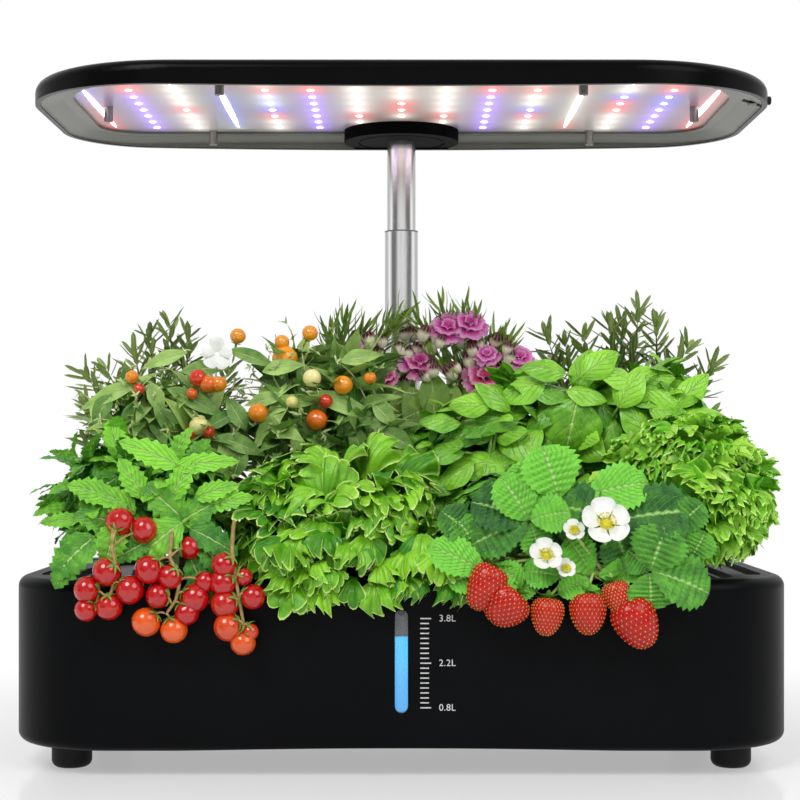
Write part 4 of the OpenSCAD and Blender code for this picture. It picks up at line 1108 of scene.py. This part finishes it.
def calyx(plant, foot, top, tilt, rise, length, width, kind, tone):
    """Sepals that spread from a fruit's stalk end."""
    for k in range(SEPALS):
        turn = 2 * math.pi * k / SEPALS
        out = unit(np.cross(top, (math.cos(turn), math.sin(turn), tilt)))
        SPEAR.grow(plant, foot, out + top * rise, top, length, width, kind, tone)


for name, pod, seed in (("pepper_left", "middle_1", 31), ("pepper_right", "middle_2", 32)):
    rng = np.random.default_rng(seed)
    plant = Growth(leaf=pepper_leaf, stem=twig, orange=orange_skin, cream=cream_skin,
                   sponge=sponge, petal=white_petal)
    foot = plant.rooted(pod, 130)
    mounds = crown(name, 26.0, 112)
    fork = foot + (0, 0, 38)
    fill_inside(plant, rng, PEPPER_BLADE, mounds, count=60, length=40, width=19)
    spots = canopy(rng, mounds, 170, reach=0.95, low=-0.65)
    spots += canopy(rng, mounds, 60, reach=0.7, low=0.0)
    for i, (spot, out) in enumerate(spots):
        aim = out * (1, 1, 0.5) + (0, 0, 0.35) + rng.normal(0, 0.45, 3)
        length = rng.uniform(24, 42)
        base = spot - unit(aim) * length * 0.55
        face = out * 0.7 + (0, 0, 0.8) + rng.normal(0, 0.3, 3)
        PEPPER_BLADE.grow(plant, base, aim, face, length, length * rng.uniform(0.26, 0.34),
                          tone=rng.uniform(0, 1.1), phase=rng.uniform(0, 6),
                          droop=rng.uniform(0.3, 1.2))
        plant.stalk(bowed(base - out * 9 - (0, 0, 6), base, (0, 0, -1.5), count=5), 0.55, 0.5)
        if i % 6 == 0:
            plant.stalk(bowed(fork, base, (0, 0, 6), count=9), 1.2, 0.6)
    for spot, out in canopy(rng, mounds, 90, reach=0.97, low=-0.2):
        end = spot + out * rng.uniform(2, 6) + rng.normal(0, 5, 3)
        plant.stalk(bowed(spot - out * 8, end, rng.normal(0, 1.5, 3), count=6), 0.5, 0.35)
        for _ in range(4):
            SPEAR.grow(plant, end, out + rng.normal(0, 0.8, 3), out, rng.uniform(3, 6), 1.2,
                       "stem", 0.9)
    for *ends, width, tone in PEPPER_FRONT[name]:
        laid_leaf(plant, PEPPER_BLADE, (*ends, 0.85 * width, tone), PEPPER_DEPTH + 2, 2.0)
    for px, py, size, ripe in PEPPERS[name]:
        spot = seen(px, py, PEPPER_DEPTH if py > 370 else PEPPER_DEPTH + 10)
        radius = seen_size(size, spot[1])
        top = unit((rng.normal(0, 0.3), 0.4, -1))
        plant.fruit(spot, top, radius, radius * 0.96, kind="cream" if ripe > 1 else "orange",
                    tone=ripe % 1.01)
        calyx(plant, spot + top * radius * 0.96, top, tilt=0.3, rise=0.1, length=radius * 0.8,
              width=1.6, kind="leaf", tone=0.9)
        plant.stalk(bowed(spot + top * radius * 0.9, spot + top * (radius + 12) + (0, 8, 0),
                          (0, 2, 0), count=6), 0.7, 0.6)
    if name == "pepper_left":
        spot = seen(*PEPPER_FLOWER, PEPPER_DEPTH - 4)
        for k in range(5):
            turn = 2 * math.pi * k / 5 + 0.3
            aim = (math.cos(turn), -0.35, math.sin(turn))
            fan(plant, spot, aim, (0, -1, 0.2), PEPPER_PETAL, spread=0.62, amp=0.04, waves=3.0,
                kind="petal", droop=0.2, curl=0.3, rows=6, cols=8, phase=k)
    plant.piece(f"{name}_bush", pod, name, "leaf_pepper")

# ---------------------------------------------------------------- basil
# Two sweet basils: upright square stems, each with crossed pairs of broad, glossy,
# blistered leaves that open from a tight tip.
basil_leaf = leaf_finish("basil_leaf", shade(44, 130, 8), shade(156, 228, 64),
                         shade(206, 244, 146), veins=5.0, slant=0.55, line=0.05, gloss=0.26,
                         pucker=0.0008, specular=0.5)
basil_stem = plain_finish("basil_stem", shade(112, 168, 60), shade(160, 206, 96), roughness=0.4)
BASIL_BLADE = Blade(widest=0.44, slim=0.75, fold=-0.32, droop=1.1, ruffle=0.03, waves=2.0,
                    quilt=0.065, veins=5, slant=0.55, rows=20, cols=10)
# Leaves that lie open to the front: pixel of the middle, length, width, lean and tone
BASIL_FRONT = {
    "basil_left": [(521, 386, 26, 16, 1.7, 0.75), (554, 387, 24, 15, -1.3, 0.5),
                   (588, 389, 22, 15, -1.5, 0.7), (581, 368, 24, 14, -0.2, 0.8),
                   (571, 428, 33, 30, 2.9, 0.55), (516, 439, 30, 20, 1.9, 0.8),
                   (474, 462, 30, 16, 1.5, 0.9), (441, 416, 22, 14, 1.2, 0.5),
                   (540, 412, 24, 14, 2.0, 0.5), (497, 416, 24, 13, 1.3, 0.35),
                   (462, 432, 26, 13, 1.8, 0.4), (440, 448, 26, 14, 1.4, 0.5),
                   (452, 472, 24, 14, 1.9, 0.7), (437, 480, 22, 12, 1.0, 0.3),
                   (482, 482, 24, 14, 2.2, 0.4), (500, 464, 26, 16, 1.6, 0.3),
                   (540, 450, 26, 16, 2.4, 0.5), (466, 500, 22, 14, 1.3, 0.5),
                   (440, 505, 22, 13, 0.8, 0.7), (545, 365, 24, 13, 1.2, 0.9),
                   (498, 392, 24, 14, 0.6, 0.85), (470, 402, 22, 13, 1.4, 0.7),
                   (600, 362, 24, 14, -0.9, 0.95)],
    "basil_right": [(628, 386, 24, 16, -0.4, 0.85), (650, 374, 28, 15, -1.3, 0.9),
                    (678, 414, 30, 15, -1.8, 0.7), (650, 434, 26, 18, -2.6, 0.4),
                    (674, 462, 32, 18, -1.7, 0.8), (612, 412, 26, 15, -2.2, 0.4),
                    (700, 440, 26, 13, -1.5, 0.85), (604, 440, 24, 16, 2.6, 0.5),
                    (630, 462, 24, 15, 2.2, 0.4), (650, 405, 26, 15, -1.1, 0.6),
                    (692, 388, 26, 12, -0.7, 0.9), (700, 412, 26, 13, -1.2, 0.95),
                    (640, 418, 26, 16, 0.4, 0.8), (620, 372, 24, 14, 0.9, 0.9),
                    (668, 390, 26, 14, -1.6, 0.75), (694, 468, 24, 14, -2.0, 0.6)],
}
BASIL_DEPTH = -27
# Each pair of leaves on a shoot: size, distance below the tip, and how steeply it rises
LEAF_PAIRS = ((1.0, 9, 0.15), (0.8, 4, 0.55), (0.42, 0, 1.3))


def facing_leaf(plant, blade, spot, length, width, lean, tone, tilt, droop):
    """A leaf seen from its upper side: lean turns it from upright, to the left if positive."""
    aim = unit((-math.sin(lean), -0.25, math.cos(lean)))
    base = np.asarray(spot) - aim * length * 0.5
    blade.grow(plant, base, aim, (0.1 * math.sin(5 * lean), -1, tilt), length, width, tone=tone,
               phase=lean, droop=droop)
    plant.stalk(bowed(base - aim * 7 + (0, 9, 0), base + aim * 1.0, count=5), 0.9, 0.6)


for name, pod, seed in (("basil_left", "middle_3", 41), ("basil_right", "middle_4", 42)):
    rng = np.random.default_rng(seed)
    plant = Growth(leaf=basil_leaf, stem=basil_stem, sponge=sponge)
    foot = plant.rooted(pod, 130)
    mounds = crown(name, 26.5, 108)
    if name == "basil_left":
        # Its left half is lower, so that the mast's foot and the dianthus show over it.
        x, y, z, r, h = mounds[0]
        mounds[0] = (x, y, z - 10, r, h - 11)
    fill_inside(plant, rng, BASIL_BLADE, mounds, count=30, length=36, width=24)
    for spot, out in canopy(rng, mounds, 34, reach=0.9, low=-0.5):
        path = bowed(foot + (0, 0, 8), spot, (out[0] * 4, out[1] * 4, 0), count=10)
        plant.stalk(path, 1.6, 1.0)
        stem = unit(out * (1, 1, 0.4) + (0, 0, 0.9))
        right = unit(np.cross(stem, rng.normal(size=3)))
        for pair, (size, back, rise) in enumerate(LEAF_PAIRS):
            cross = right if pair % 2 == 0 else np.cross(stem, right)
            for sign in (-1, 1):
                length = 31 * size * rng.uniform(0.85, 1.15)
                BASIL_BLADE.grow(plant, spot - stem * back, sign * cross + rise * stem,
                                 stem + out * 0.3, length, length * rng.uniform(0.5, 0.62),
                                 tone=rng.uniform(0.15, 1.0), phase=rng.uniform(0, 6),
                                 droop=rng.uniform(0.4, 1.1))
    for px, py, length, width, lean, tone in BASIL_FRONT[name]:
        spot = seen(px, py, BASIL_DEPTH + rng.uniform(-5, 5))
        facing_leaf(plant, BASIL_BLADE, spot, length * 1.08, width * 1.12, lean,
                    tone=tone + rng.uniform(-0.3, 0.2), tilt=rng.uniform(0.3, 1.4), droop=0.9)
    plant.piece(f"{name}_bush", pod, name, "leaf_basil")

# ---------------------------------------------------------------- lettuce
# One loose-leaf lettuce. Its crisp ruffled leaves open from the pod in layers, and the
# outer ones roll over the tank's front edge.
lettuce_leaf = leaf_finish("lettuce_leaf", shade(40, 128, 10), shade(148, 216, 48),
                           shade(176, 226, 96), veins=0.6, slant=10.0, line=0.03, gloss=0.3,
                           pucker=0.0008, margin=shade(200, 238, 116), specular=0.45)
lettuce_rib = plain_finish("lettuce_rib", shade(170, 204, 110), shade(206, 226, 150),
                           roughness=0.4)
LETTUCE_HEAD = ((-26, -68, 122), (60, 37, 44))
# Where its outer leaves hang in front of the tank: left, right, lowest and highest
SKIRT = (-62.0, 27.0, 93.0, 124.0)
# The skirt's hem is higher at its right-hand end and next to the tomato.
SKIRT_RIGHT_X, SKIRT_RIGHT_RISE, SKIRT_LEFT_WIDTH, SKIRT_LEFT_RISE = 2, 7, 12, 6


def head_of_leaves(plant, rng, middle, radii, count, length, spread, amp, waves, fringe=0.0,
                   teeth=0, cols=44, rows=13):
    """Leaves that open like a rosette from inside a rounded head and curl over outside."""
    made = 0
    while made < count:
        way = unit(rng.normal(size=3))
        under_head, behind_head = way[2] < -0.62, way[1] > 0.9
        if under_head or behind_head:
            continue
        out = unit(way / np.array(radii))
        spot = np.array(middle) + way * np.array(radii)
        size = length * rng.uniform(0.75, 1.15)
        aim = unit(out + (0, 0, 0.35) + rng.normal(0, 0.28, 3))
        face = (0, 0, 1.0) + 0.5 * out + rng.normal(0, 0.3, 3)
        fan(plant, spot - aim * size * 0.72, aim, face, size,
            spread=spread * rng.uniform(0.8, 1.1), amp=amp, waves=waves * rng.uniform(0.85, 1.2),
            tone=rng.uniform(0.0, 1.0), droop=rng.uniform(0.5, 1.1), curl=rng.uniform(0.3, 1.3),
            fringe=fringe, teeth=teeth, rows=rows, cols=cols, phase=rng.uniform(0, 6.3), cup=0.1)
        made += 1


def heart_of_leaves(plant, rng, middle, radii, count, length):
    """Broad inner leaves that close the head, so that nothing shows between the outer ones."""
    for i in range(count):
        turn = GOLDEN_TURN * i
        out = np.array([math.cos(turn), math.sin(turn), rng.uniform(-0.8, 0.5)])
        spot = np.array(middle) + 0.58 * unit(out) * radii
        # The low tone of these inner leaves is painted shade of the head's inside.
        fan(plant, spot - (0, 0, length * 0.55), unit(out * (0.5, 0.5, 0) + (0, 0, 1)), -out,
            length, spread=1.2, amp=0.13, waves=16.0, tone=rng.uniform(-0.3, 0.3), droop=-0.3,
            curl=0.2, rows=9, cols=32, phase=rng.uniform(0, 6))


def skirt_of_leaves(plant, rng, area, count, length, amp, waves, depth):
    """Leaves that hang over the rim in front of the tank, in rows from its hem upwards."""
    left, right, lowest, highest = area
    for i in range(count):
        x = rng.uniform(left, right)
        low = lowest
        if x > SKIRT_RIGHT_X:
            low += SKIRT_RIGHT_RISE
        elif x < left + SKIRT_LEFT_WIDTH:
            low += SKIRT_LEFT_RISE
        z = low + (highest - low) * (i + 0.5) / count
        aim = (rng.normal(0, 0.35), -0.75, -0.35 + rng.normal(0, 0.2))
        size = length * rng.uniform(0.8, 1.15)
        face = (rng.normal(0, 0.3), -0.3, 1.0)
        fan(plant, (x, depth, z), aim, face, size, spread=rng.uniform(0.9, 1.2), amp=amp,
            waves=waves * rng.uniform(0.85, 1.2), tone=rng.uniform(0, 1),
            droop=rng.uniform(0.5, 1.0), curl=rng.uniform(0.3, 1.0), rows=13, cols=44,
            phase=rng.uniform(0, 6.3), cup=0.1)


rng = np.random.default_rng(51)
plant = Growth(leaf=lettuce_leaf, stem=lettuce_rib, sponge=sponge)
plant.rooted("front_2", 116)
heart_of_leaves(plant, rng, *LETTUCE_HEAD, count=30, length=26)
head_of_leaves(plant, rng, *LETTUCE_HEAD, count=110, length=27, spread=1.05, amp=0.16, waves=22.0)
skirt_of_leaves(plant, rng, SKIRT, count=38, length=18, amp=0.17, waves=20.0, depth=-101)
plant.piece("lettuce_head", "front_2", "lettuce", "leaf_lettuce")

# ---------------------------------------------------------------- frisee
# One curled frisee over the right-hand end: pale green leaves, broad in the middle,
# whose cut margins stand up in tight lime-coloured frills.
frisee_leaf = leaf_finish("frisee_leaf", shade(96, 188, 22), shade(178, 232, 84),
                          shade(206, 240, 140), veins=0.6, slant=10.0, line=0.04, gloss=0.32,
                          pucker=0.0006, margin=shade(196, 246, 104), specular=0.4)
FRISEE_HEART = ((149, -62, 136), (44, 32, 40))
FRISEE_HEAD = ((147, -64, 140), (40, 32, 40))
rng = np.random.default_rng(61)
plant = Growth(leaf=frisee_leaf, stem=lettuce_rib, sponge=sponge)
plant.rooted("front_4", 116)
heart_of_leaves(plant, rng, *FRISEE_HEART, count=24, length=30)
head_of_leaves(plant, rng, *FRISEE_HEAD, count=108, length=22, spread=0.95, amp=0.17, waves=34.0,
               fringe=0.22, teeth=12, cols=60, rows=11)
plant.piece("frisee_head", "front_4", "frisee", "leaf_frisee")

# ---------------------------------------------------------------- strawberry
# One strawberry plant: pleated leaves in threes on long stalks, white flowers with
# yellow middles, and ripe berries that hang in front of the tank.
strawberry_leaf = leaf_finish("strawberry_leaf", shade(24, 90, 30), shade(124, 214, 66),
                              shade(180, 230, 130), veins=9.0, slant=0.55, line=0.08, gloss=0.4,
                              pucker=0.0009)
STRAWBERRY_BLADE = Blade(widest=0.56, slim=0.62, fold=0.2, droop=0.4, ruffle=0.02, waves=3.0,
                         quilt=0.07, veins=9, slant=0.5, teeth=10, tooth=0.2, rows=40, cols=10)
SPLAY = 1.35


def trefoil(plant, spot, lean, face, length, width, tone):
    """Three leaflets that meet at a spot, the middle one pointing the way of lean."""
    face = unit(face)
    up = unit(np.cross(face, np.cross((0, 0, 1), face)))
    right = np.cross(face, up)
    for step in (-1, 0, 1):
        turn = lean + SPLAY * step
        aim = math.cos(turn) * up + math.sin(turn) * right
        size = 1.0 if step == 0 else 0.92
        STRAWBERRY_BLADE.grow(plant, spot, aim, face, length * size, width * size,
                              tone=tone + 0.08 * step, phase=turn)


# Each leaflet of the front leaves: pixels of its base and its tip, width, tone, step forward
LEAFLETS = [
    (559, 499, 546, 451, 33, 1.15, 0), (586, 496, 643, 480, 27, 1.05, 0),
    (556, 497, 512, 474, 26, 1.0, -2), (618, 521, 563, 503, 31, 0.1, 2),
    (614, 521, 692, 506, 33, 0.05, 3), (612, 527, 628, 562, 27, 0.15, 1),
    (636, 536, 640, 506, 20, 0.3, 0), (529, 521, 506, 480, 25, 0.8, 4),
    (529, 521, 479, 500, 27, 0.0, 3), (528, 522, 474, 540, 27, 0.25, 5),
    (530, 520, 566, 510, 22, 0.85, 6), (530, 523, 540, 552, 18, 0.5, 4),
    (650, 571, 664, 531, 31, 0.42, 8), (651, 571, 707, 588, 30, 0.4, 9),
    (649, 573, 652, 606, 27, 0.5, 10), (649, 571, 632, 552, 20, 0.3, 7),
    (486, 573, 436, 545, 22, 1.05, 7), (484, 575, 452, 580, 17, 0.8, 6),
    (490, 568, 522, 578, 16, 1.0, 8), (560, 577, 528, 569, 19, 0.65, 6),
    (592, 575, 572, 541, 20, 0.95, 3), (598, 576, 644, 566, 15, 1.05, 5),
    (590, 580, 562, 590, 14, 0.9, 7), (604, 582, 626, 590, 13, 0.85, 6),
    (470, 535, 446, 512, 20, 0.15, 0), (478, 552, 460, 520, 22, 0.5, 1),
    (585, 583, 590, 600, 14, 0.75, 6), (540, 585, 512, 590, 14, 0.75, 6),
    (676, 528, 700, 505, 20, 0.3, 0), (690, 560, 704, 535, 20, 0.6, 1)]
STRAWBERRY_DEPTH = -104
# Each berry: pixel of its middle, half width and half height in pixels, lean
BERRIES = [(485, 588, 20, 24, 0.5), (504, 607, 24, 20, 0.75), (547, 617, 17, 19, 0.1),
           (588, 614, 19, 21, 0.0), (618, 598, 15, 17, -0.3), (637, 624, 23, 26, -0.45)]
BERRY_DEPTH = -113
BERRY_STALKS_FROM, FLOWER_STALKS_FROM = (600, 572, -100), (606, 575, -104)
FLOWER_HEADS = [(606, 524, 22), (546, 556, 15), (574, 531, 10), (566, 569, 9)]
SEED_ROWS, SEEDS_ROUND, FEWEST_SEEDS = 15, 25, 5
PIT_R, PIT_DEPTH, PIT_RIM = 0.8, 0.55, 0.28
SEED_R, SEED_HALF, SEED_SINK = 0.28, 0.5, 0.25
BERRY_SEPALS, PETALS, STAMENS = 14, 5, 26

berry_skin, start, feed = new_material("berry_skin", Specular_IOR_Level=0.3, Coat_Weight=0.12,
                                       Coat_Roughness=0.15)
along, _, pit = marks_of(start)
red = along.smooth(0.0, 0.14).blend(shade(222, 140, 80), shade(188, 6, 16))
cloud = noise(start, scale=260.0, detail=3.0)
deeper = (cloud.smooth(0.3, 0.7) * 0.5).blend(red, shade(140, 2, 12))
feed(Base_Color=(pit * 0.4).blend(deeper, shade(226, 70, 54)), Roughness=cloud * 0.12 + 0.2,
     Normal=bump(cloud, 0.0001))
seed_skin = plain_finish("seed_skin", shade(222, 176, 70), shade(240, 214, 120), roughness=0.35,
                         scale=900.0)
stamen_skin = plain_finish("stamen_skin", shade(190, 190, 40), shade(236, 220, 60), roughness=0.6,
                           scale=900.0)
young_stem = plain_finish("young_stem", shade(150, 190, 80), shade(206, 224, 140), roughness=0.45)


def berry(plant, rng, centre, top, radius, half):
    """A heart-shaped berry with pitted skin, seeds in the pits, and a frill of sepals."""
    rows, cols = 44, 72
    top = unit(top)
    right = unit(np.cross(top, (0, 1, 0)))
    back = np.cross(top, right)
    t = np.linspace(0, 1, rows + 1)[:, None]
    a = np.linspace(0, 2 * np.pi, cols + 1)[None, :]

    def skin(t, a):
        girth = radius * np.sin(np.pi * t ** 0.8) ** 0.8 * (1.1 - 0.24 * t)
        ring = np.cos(a)[..., None] * back + np.sin(a)[..., None] * right
        return centre + girth[..., None] * ring + (half * np.cos(np.pi * t))[..., None] * top

    seeds = []
    for i in range(SEED_ROWS):
        girth = math.sin(math.pi * ((i + 0.9) / (SEED_ROWS + 1)) ** 0.8)
        count = max(FEWEST_SEEDS, round(SEEDS_ROUND * girth))
        seeds += [((i + 0.9) / (SEED_ROWS + 0.8), 2 * math.pi * (k + 0.5 * (i % 2)) / count)
                  for k in range(count)]
    seed_t, seed_a = np.array(seeds).T[..., None]
    seed_points = skin(seed_t, seed_a)[:, 0]
    pts = skin(t, a)
    gap = np.linalg.norm(pts[:, :, None] - seed_points[None, None], axis=-1).min(-1)
    pit = np.exp(-(gap / PIT_R) ** 2)
    inward = centre - pts
    inward = inward / np.linalg.norm(inward, axis=-1, keepdims=True)
    plant.sheet(pts + PIT_DEPTH * pit[..., None] * inward, t, a / (2 * np.pi),
                np.exp(-((gap - PIT_R) / PIT_RIM) ** 2), "berry")
    for point in seed_points:
        out = unit(point - centre)
        plant.fruit(point - out * SEED_SINK, -top + 0.2 * out, SEED_R, SEED_HALF, kind="seed",
                    tone=rng.uniform(), rows=3, cols=5)
    for k in range(BERRY_SEPALS):
        turn = 2 * math.pi * k / BERRY_SEPALS + rng.normal(0, 0.15)
        out = outward(top, (0, 1, 0), turn)
        SPEAR.grow(plant, centre + top * half * 0.96, out + top * rng.uniform(-0.1, 0.9), top,
                   radius * rng.uniform(0.7, 1.1), 2.4, tone=rng.uniform(0.8, 1.2),
                   droop=rng.uniform(-0.4, 0.6))


rng = np.random.default_rng(71)
plant = Growth(leaf=strawberry_leaf, stem=basil_stem, young_stem=young_stem, berry=berry_skin,
               seed=seed_skin, petal=white_petal, stamen=stamen_skin, sponge=sponge)
foot = plant.rooted("front_3", 112)
for *mark, step in LEAFLETS:
    base = laid_leaf(plant, STRAWBERRY_BLADE, mark, STRAWBERRY_DEPTH - step)
    plant.stalk(bowed(foot + (0, 0, 6), base, (0, 0, 10), count=10), 1.1, 0.8, "young_stem")
mounds = [(62, -62, 126, 36, 30), (90, -74, 118, 26, 22), (125, -88, 112, 18, 12)]
fill_inside(plant, rng, STRAWBERRY_BLADE, mounds, count=16, length=34, width=30)
for spot, out in canopy(rng, mounds, 22, reach=0.85, low=-0.1):
    trefoil(plant, spot, rng.uniform(-0.8, 0.8), out + (0, 0, 0.5), rng.uniform(16, 24),
            rng.uniform(14, 20), rng.uniform(0.0, 0.9))
    plant.stalk(bowed(foot + (0, 0, 6), spot, (0, 0, 8), count=8), 0.9, 0.7, "young_stem")
scale = seen_size(1, BERRY_DEPTH)
for px, py, half_w, half_h, lean in BERRIES:
    centre = seen(px, py, BERRY_DEPTH)
    top = (math.sin(lean), 0.12, math.cos(lean))
    berry(plant, rng, centre, top, half_w * scale, half_h * scale)
    stalk_end = centre + unit(top) * half_h * scale
    plant.stalk(bowed(stalk_end, seen(*BERRY_STALKS_FROM), (0, 0, 5), count=10), 0.8, 0.9,
                "young_stem")
for px, py, size in FLOWER_HEADS:
    spot = seen(px, py, STRAWBERRY_DEPTH - 12)
    radius = seen_size(size, spot[1])
    face = unit((0.05, -0.8, 0.5))
    for k in range(PETALS):
        out = outward(face, (0, 0, 1), -(2 * math.pi * k / PETALS + 0.2))
        fan(plant, spot + out * radius * 0.12, out + 0.1 * face, face, radius, spread=0.72,
            amp=0.03, waves=3.0, kind="petal", droop=-0.2, curl=-0.5, rows=8, cols=12, phase=k,
            cup=0.12)
        SPEAR.grow(plant, spot - face * 0.6, out, face, radius * 0.9, 3, tone=0.95, droop=-0.2)
    plant.fruit(spot, face, radius * 0.3, radius * 0.2, kind="stamen", rows=8, cols=14)
    for k in range(STAMENS):
        out = outward(face, (0, 0, 1), -GOLDEN_TURN * k)
        end = spot + out * radius * 0.42 + face * radius * 0.3
        bent = [spot + out * radius * 0.2, (spot + end) / 2 + face * 0.6, end]
        plant.stalk(bent, 0.2, 0.2, "stamen")
        plant.fruit(end, face, 0.5, 0.4, kind="stamen", rows=4, cols=6)
    plant.stalk(bowed(spot - face * 1.5, seen(*FLOWER_STALKS_FROM), (0, 2, 0), count=8), 0.9, 1.1,
                "young_stem")
plant.piece("strawberry_bush", "front_3", "strawberry", "leaf_strawberry")

# ---------------------------------------------------------------- tomato
# One dwarf cherry tomato: lobed leaves over the left-hand end, and three trusses of
# fruit hanging on tan stems in front of the tank.
tomato_leaf = leaf_finish("tomato_leaf", shade(38, 120, 30), shade(140, 222, 60),
                          shade(206, 240, 150), veins=6.0, slant=0.5, line=0.07, gloss=0.4,
                          pucker=0.0009)
tomato_skin = ripe_finish("tomato_skin", shade(188, 4, 12), shade(236, 96, 24),
                          shade(206, 30, 20))
truss_stem = plain_finish("truss_stem", shade(150, 124, 70), shade(186, 160, 104), roughness=0.6)
TOMATO_BLADE = Blade(widest=0.4, slim=0.75, fold=0.2, droop=0.7, ruffle=0.04, waves=2.5,
                     quilt=0.055, veins=6, slant=0.5, teeth=7, tooth=0.3, rows=28, cols=6)
# Leaves open to the front: pixel of the middle, length, width, lean and tone
TOMATO_FRONT = [
    (72, 556, 30, 22, 2.3, 0.3), (66, 566, 26, 18, 2.6, 0.25), (98, 518, 26, 17, 1.3, 0.4),
    (150, 452, 34, 15, 1.1, 1.0), (205, 462, 34, 12, -1.4, 1.0), (116, 500, 24, 15, 0.9, 0.7),
    (165, 502, 30, 20, 0.8, 0.35), (196, 512, 30, 18, -1.0, 0.3), (158, 540, 30, 22, 2.2, 0.6),
    (200, 580, 26, 15, -2.7, 0.05), (215, 560, 24, 14, -2.4, 0.1), (110, 545, 22, 18, 2.9, 0.6),
    (228, 500, 26, 12, -1.3, 0.8), (60, 520, 20, 9, 1.6, 0.6), (180, 480, 24, 14, -0.5, 0.9),
    (214, 540, 28, 16, -2.0, 0.05), (130, 550, 22, 14, 2.0, 0.2), (90, 490, 24, 15, 1.2, 0.7),
    (132, 478, 24, 14, 0.5, 0.8), (215, 490, 24, 12, -1.2, 0.85)]
# Each fruit: pixel, radius in pixels, ripeness from 0 red to 1 orange
TOMATOES = [(120, 522, 15, 0.0), (144, 530, 14, 0.1), (107, 572, 15, 0.0), (87, 590, 14, 0.0),
            (86, 610, 12, 0.1), (109, 607, 14, 0.15), (130, 590, 15, 0.05), (149, 570, 15, 0.0),
            (170, 577, 13, 0.0), (158, 596, 13, 0.0), (195, 598, 15, 0.1), (187, 613, 13, 0.05),
            (146, 622, 15, 0.85), (174, 630, 14, 0.95), (224, 565, 13, 0.0), (223, 583, 14, 0.05),
            (225, 604, 15, 0.2), (253, 597, 13, 0.05), (228, 627, 15, 0.55), (243, 643, 13, 0.75),
            (244, 577, 9, 0.1), (250, 632, 9, 0.5), (190, 548, 12, 0.0), (205, 582, 11, 0.0)]
TRUSSES = [[(112, 548), (116, 568), (112, 590), (108, 600)],
           [(170, 558), (180, 580), (176, 600), (166, 614)],
           [(232, 552), (236, 580), (240, 604), (244, 626)]]
TRUSS_DEPTH, FRUIT_DEPTH, FRUIT_IN_LEAVES_DEPTH = -113, -111.5, -103
LEAF_DEPTH, LOW_LEAF_DEPTH = -98, -106
# A compound leaf: a leaflet at its end, then a large and a small pair further back
LEAFLET_PAIRS = ((9, 0.75), (1, 0.6))

rng = np.random.default_rng(81)
plant = Growth(stem=truss_stem, skin=tomato_skin, sepal=spear_finish)
paths = []
for marks in TRUSSES:
    points = np.array([seen(px, py, TRUSS_DEPTH) for px, py in marks])
    fine = np.linspace(0, len(points) - 1, 16)
    path = np.stack([np.interp(fine, range(len(points)), points[:, k]) for k in range(3)], -1)
    paths.append(path)
    from_plant = bowed(path[0] + (0, 26, 14), path[0], (0, -4, 6), count=6)
    plant.stalk(np.concatenate([from_plant[:-1], path]), 1.1, 0.8)
joints = np.concatenate(paths)
for px, py, size, ripe in TOMATOES:
    in_leaves = py < 556 and px < 200
    depth = FRUIT_IN_LEAVES_DEPTH if in_leaves else FRUIT_DEPTH
    spot = seen(px, py, depth + rng.uniform(-0.8, 0.8))
    radius = seen_size(size, spot[1])
    joint = joints[np.argmin(np.linalg.norm(joints - spot, axis=1))]
    top = unit(joint - spot + (0, -2.0, 4.0))
    plant.fruit(spot, top, radius, radius * 0.95, kind="skin", tone=ripe)
    plant.stalk(bowed(spot + top * radius * 0.9, joint, (0, -1, 1), count=6), 0.55, 0.6)
    calyx(plant, spot + top * radius * 0.93, top, tilt=0.2, rise=0.15, length=5.0, width=1.5,
          kind="sepal", tone=0.4)
plant.piece("tomato_fruit", "front_1", "tomato_truss_left tomato_truss_middle tomato_truss_right",
            "fruit_tomato")

plant = Growth(leaf=tomato_leaf, stem=basil_stem, sponge=sponge)
plant.rooted("front_1", 130)
mounds = [(-150, -64, 137, 31, 33), (-117, -64, 134, 29, 31)]
fill_inside(plant, rng, TOMATO_BLADE, mounds, count=50, length=34, width=24)
spots = canopy(rng, mounds, 78, reach=0.85, low=-0.6)
spots += canopy(rng, mounds, 18, reach=0.6, low=0.0)
for spot, out in spots:
    aim = unit(out * (1, 1, 0.6) + (0, 0, 0.3) + rng.normal(0, 0.4, 3))
    face = out * 0.8 + (0, 0, 0.7)
    size = rng.uniform(0.75, 1.1)
    tone = rng.uniform(0.1, 1.0)
    base = spot - aim * 14 * size
    midrib = bowed(base - aim * 8 - (0, 0, 8), base + aim * 12 * size, (0, 0, 2), count=6)
    plant.stalk(midrib, 0.9, 0.5)
    TOMATO_BLADE.grow(plant, base + aim * 11 * size, aim, face, 22 * size, 14 * size, tone=tone)
    side = unit(np.cross(aim, face))
    for sign in (-1, 1):
        for forward, part in LEAFLET_PAIRS:
            TOMATO_BLADE.grow(plant, base + aim * forward * size, aim * 0.5 + side * sign, face,
                              20 * size * part, 13 * size * part,
                              tone=tone + rng.uniform(-0.1, 0.1))
for px, py, length, width, lean, tone in TOMATO_FRONT:
    spot = seen(px, py, LOW_LEAF_DEPTH if py > 530 else LEAF_DEPTH)
    facing_leaf(plant, TOMATO_BLADE, spot, length, width, lean, tone, tilt=0.4, droop=0.45)
plant.piece("tomato_bush", "front_1", "tomato", "leaf_tomato")

size = {"cad": cad_box, "visual": [list(corner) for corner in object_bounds()]}
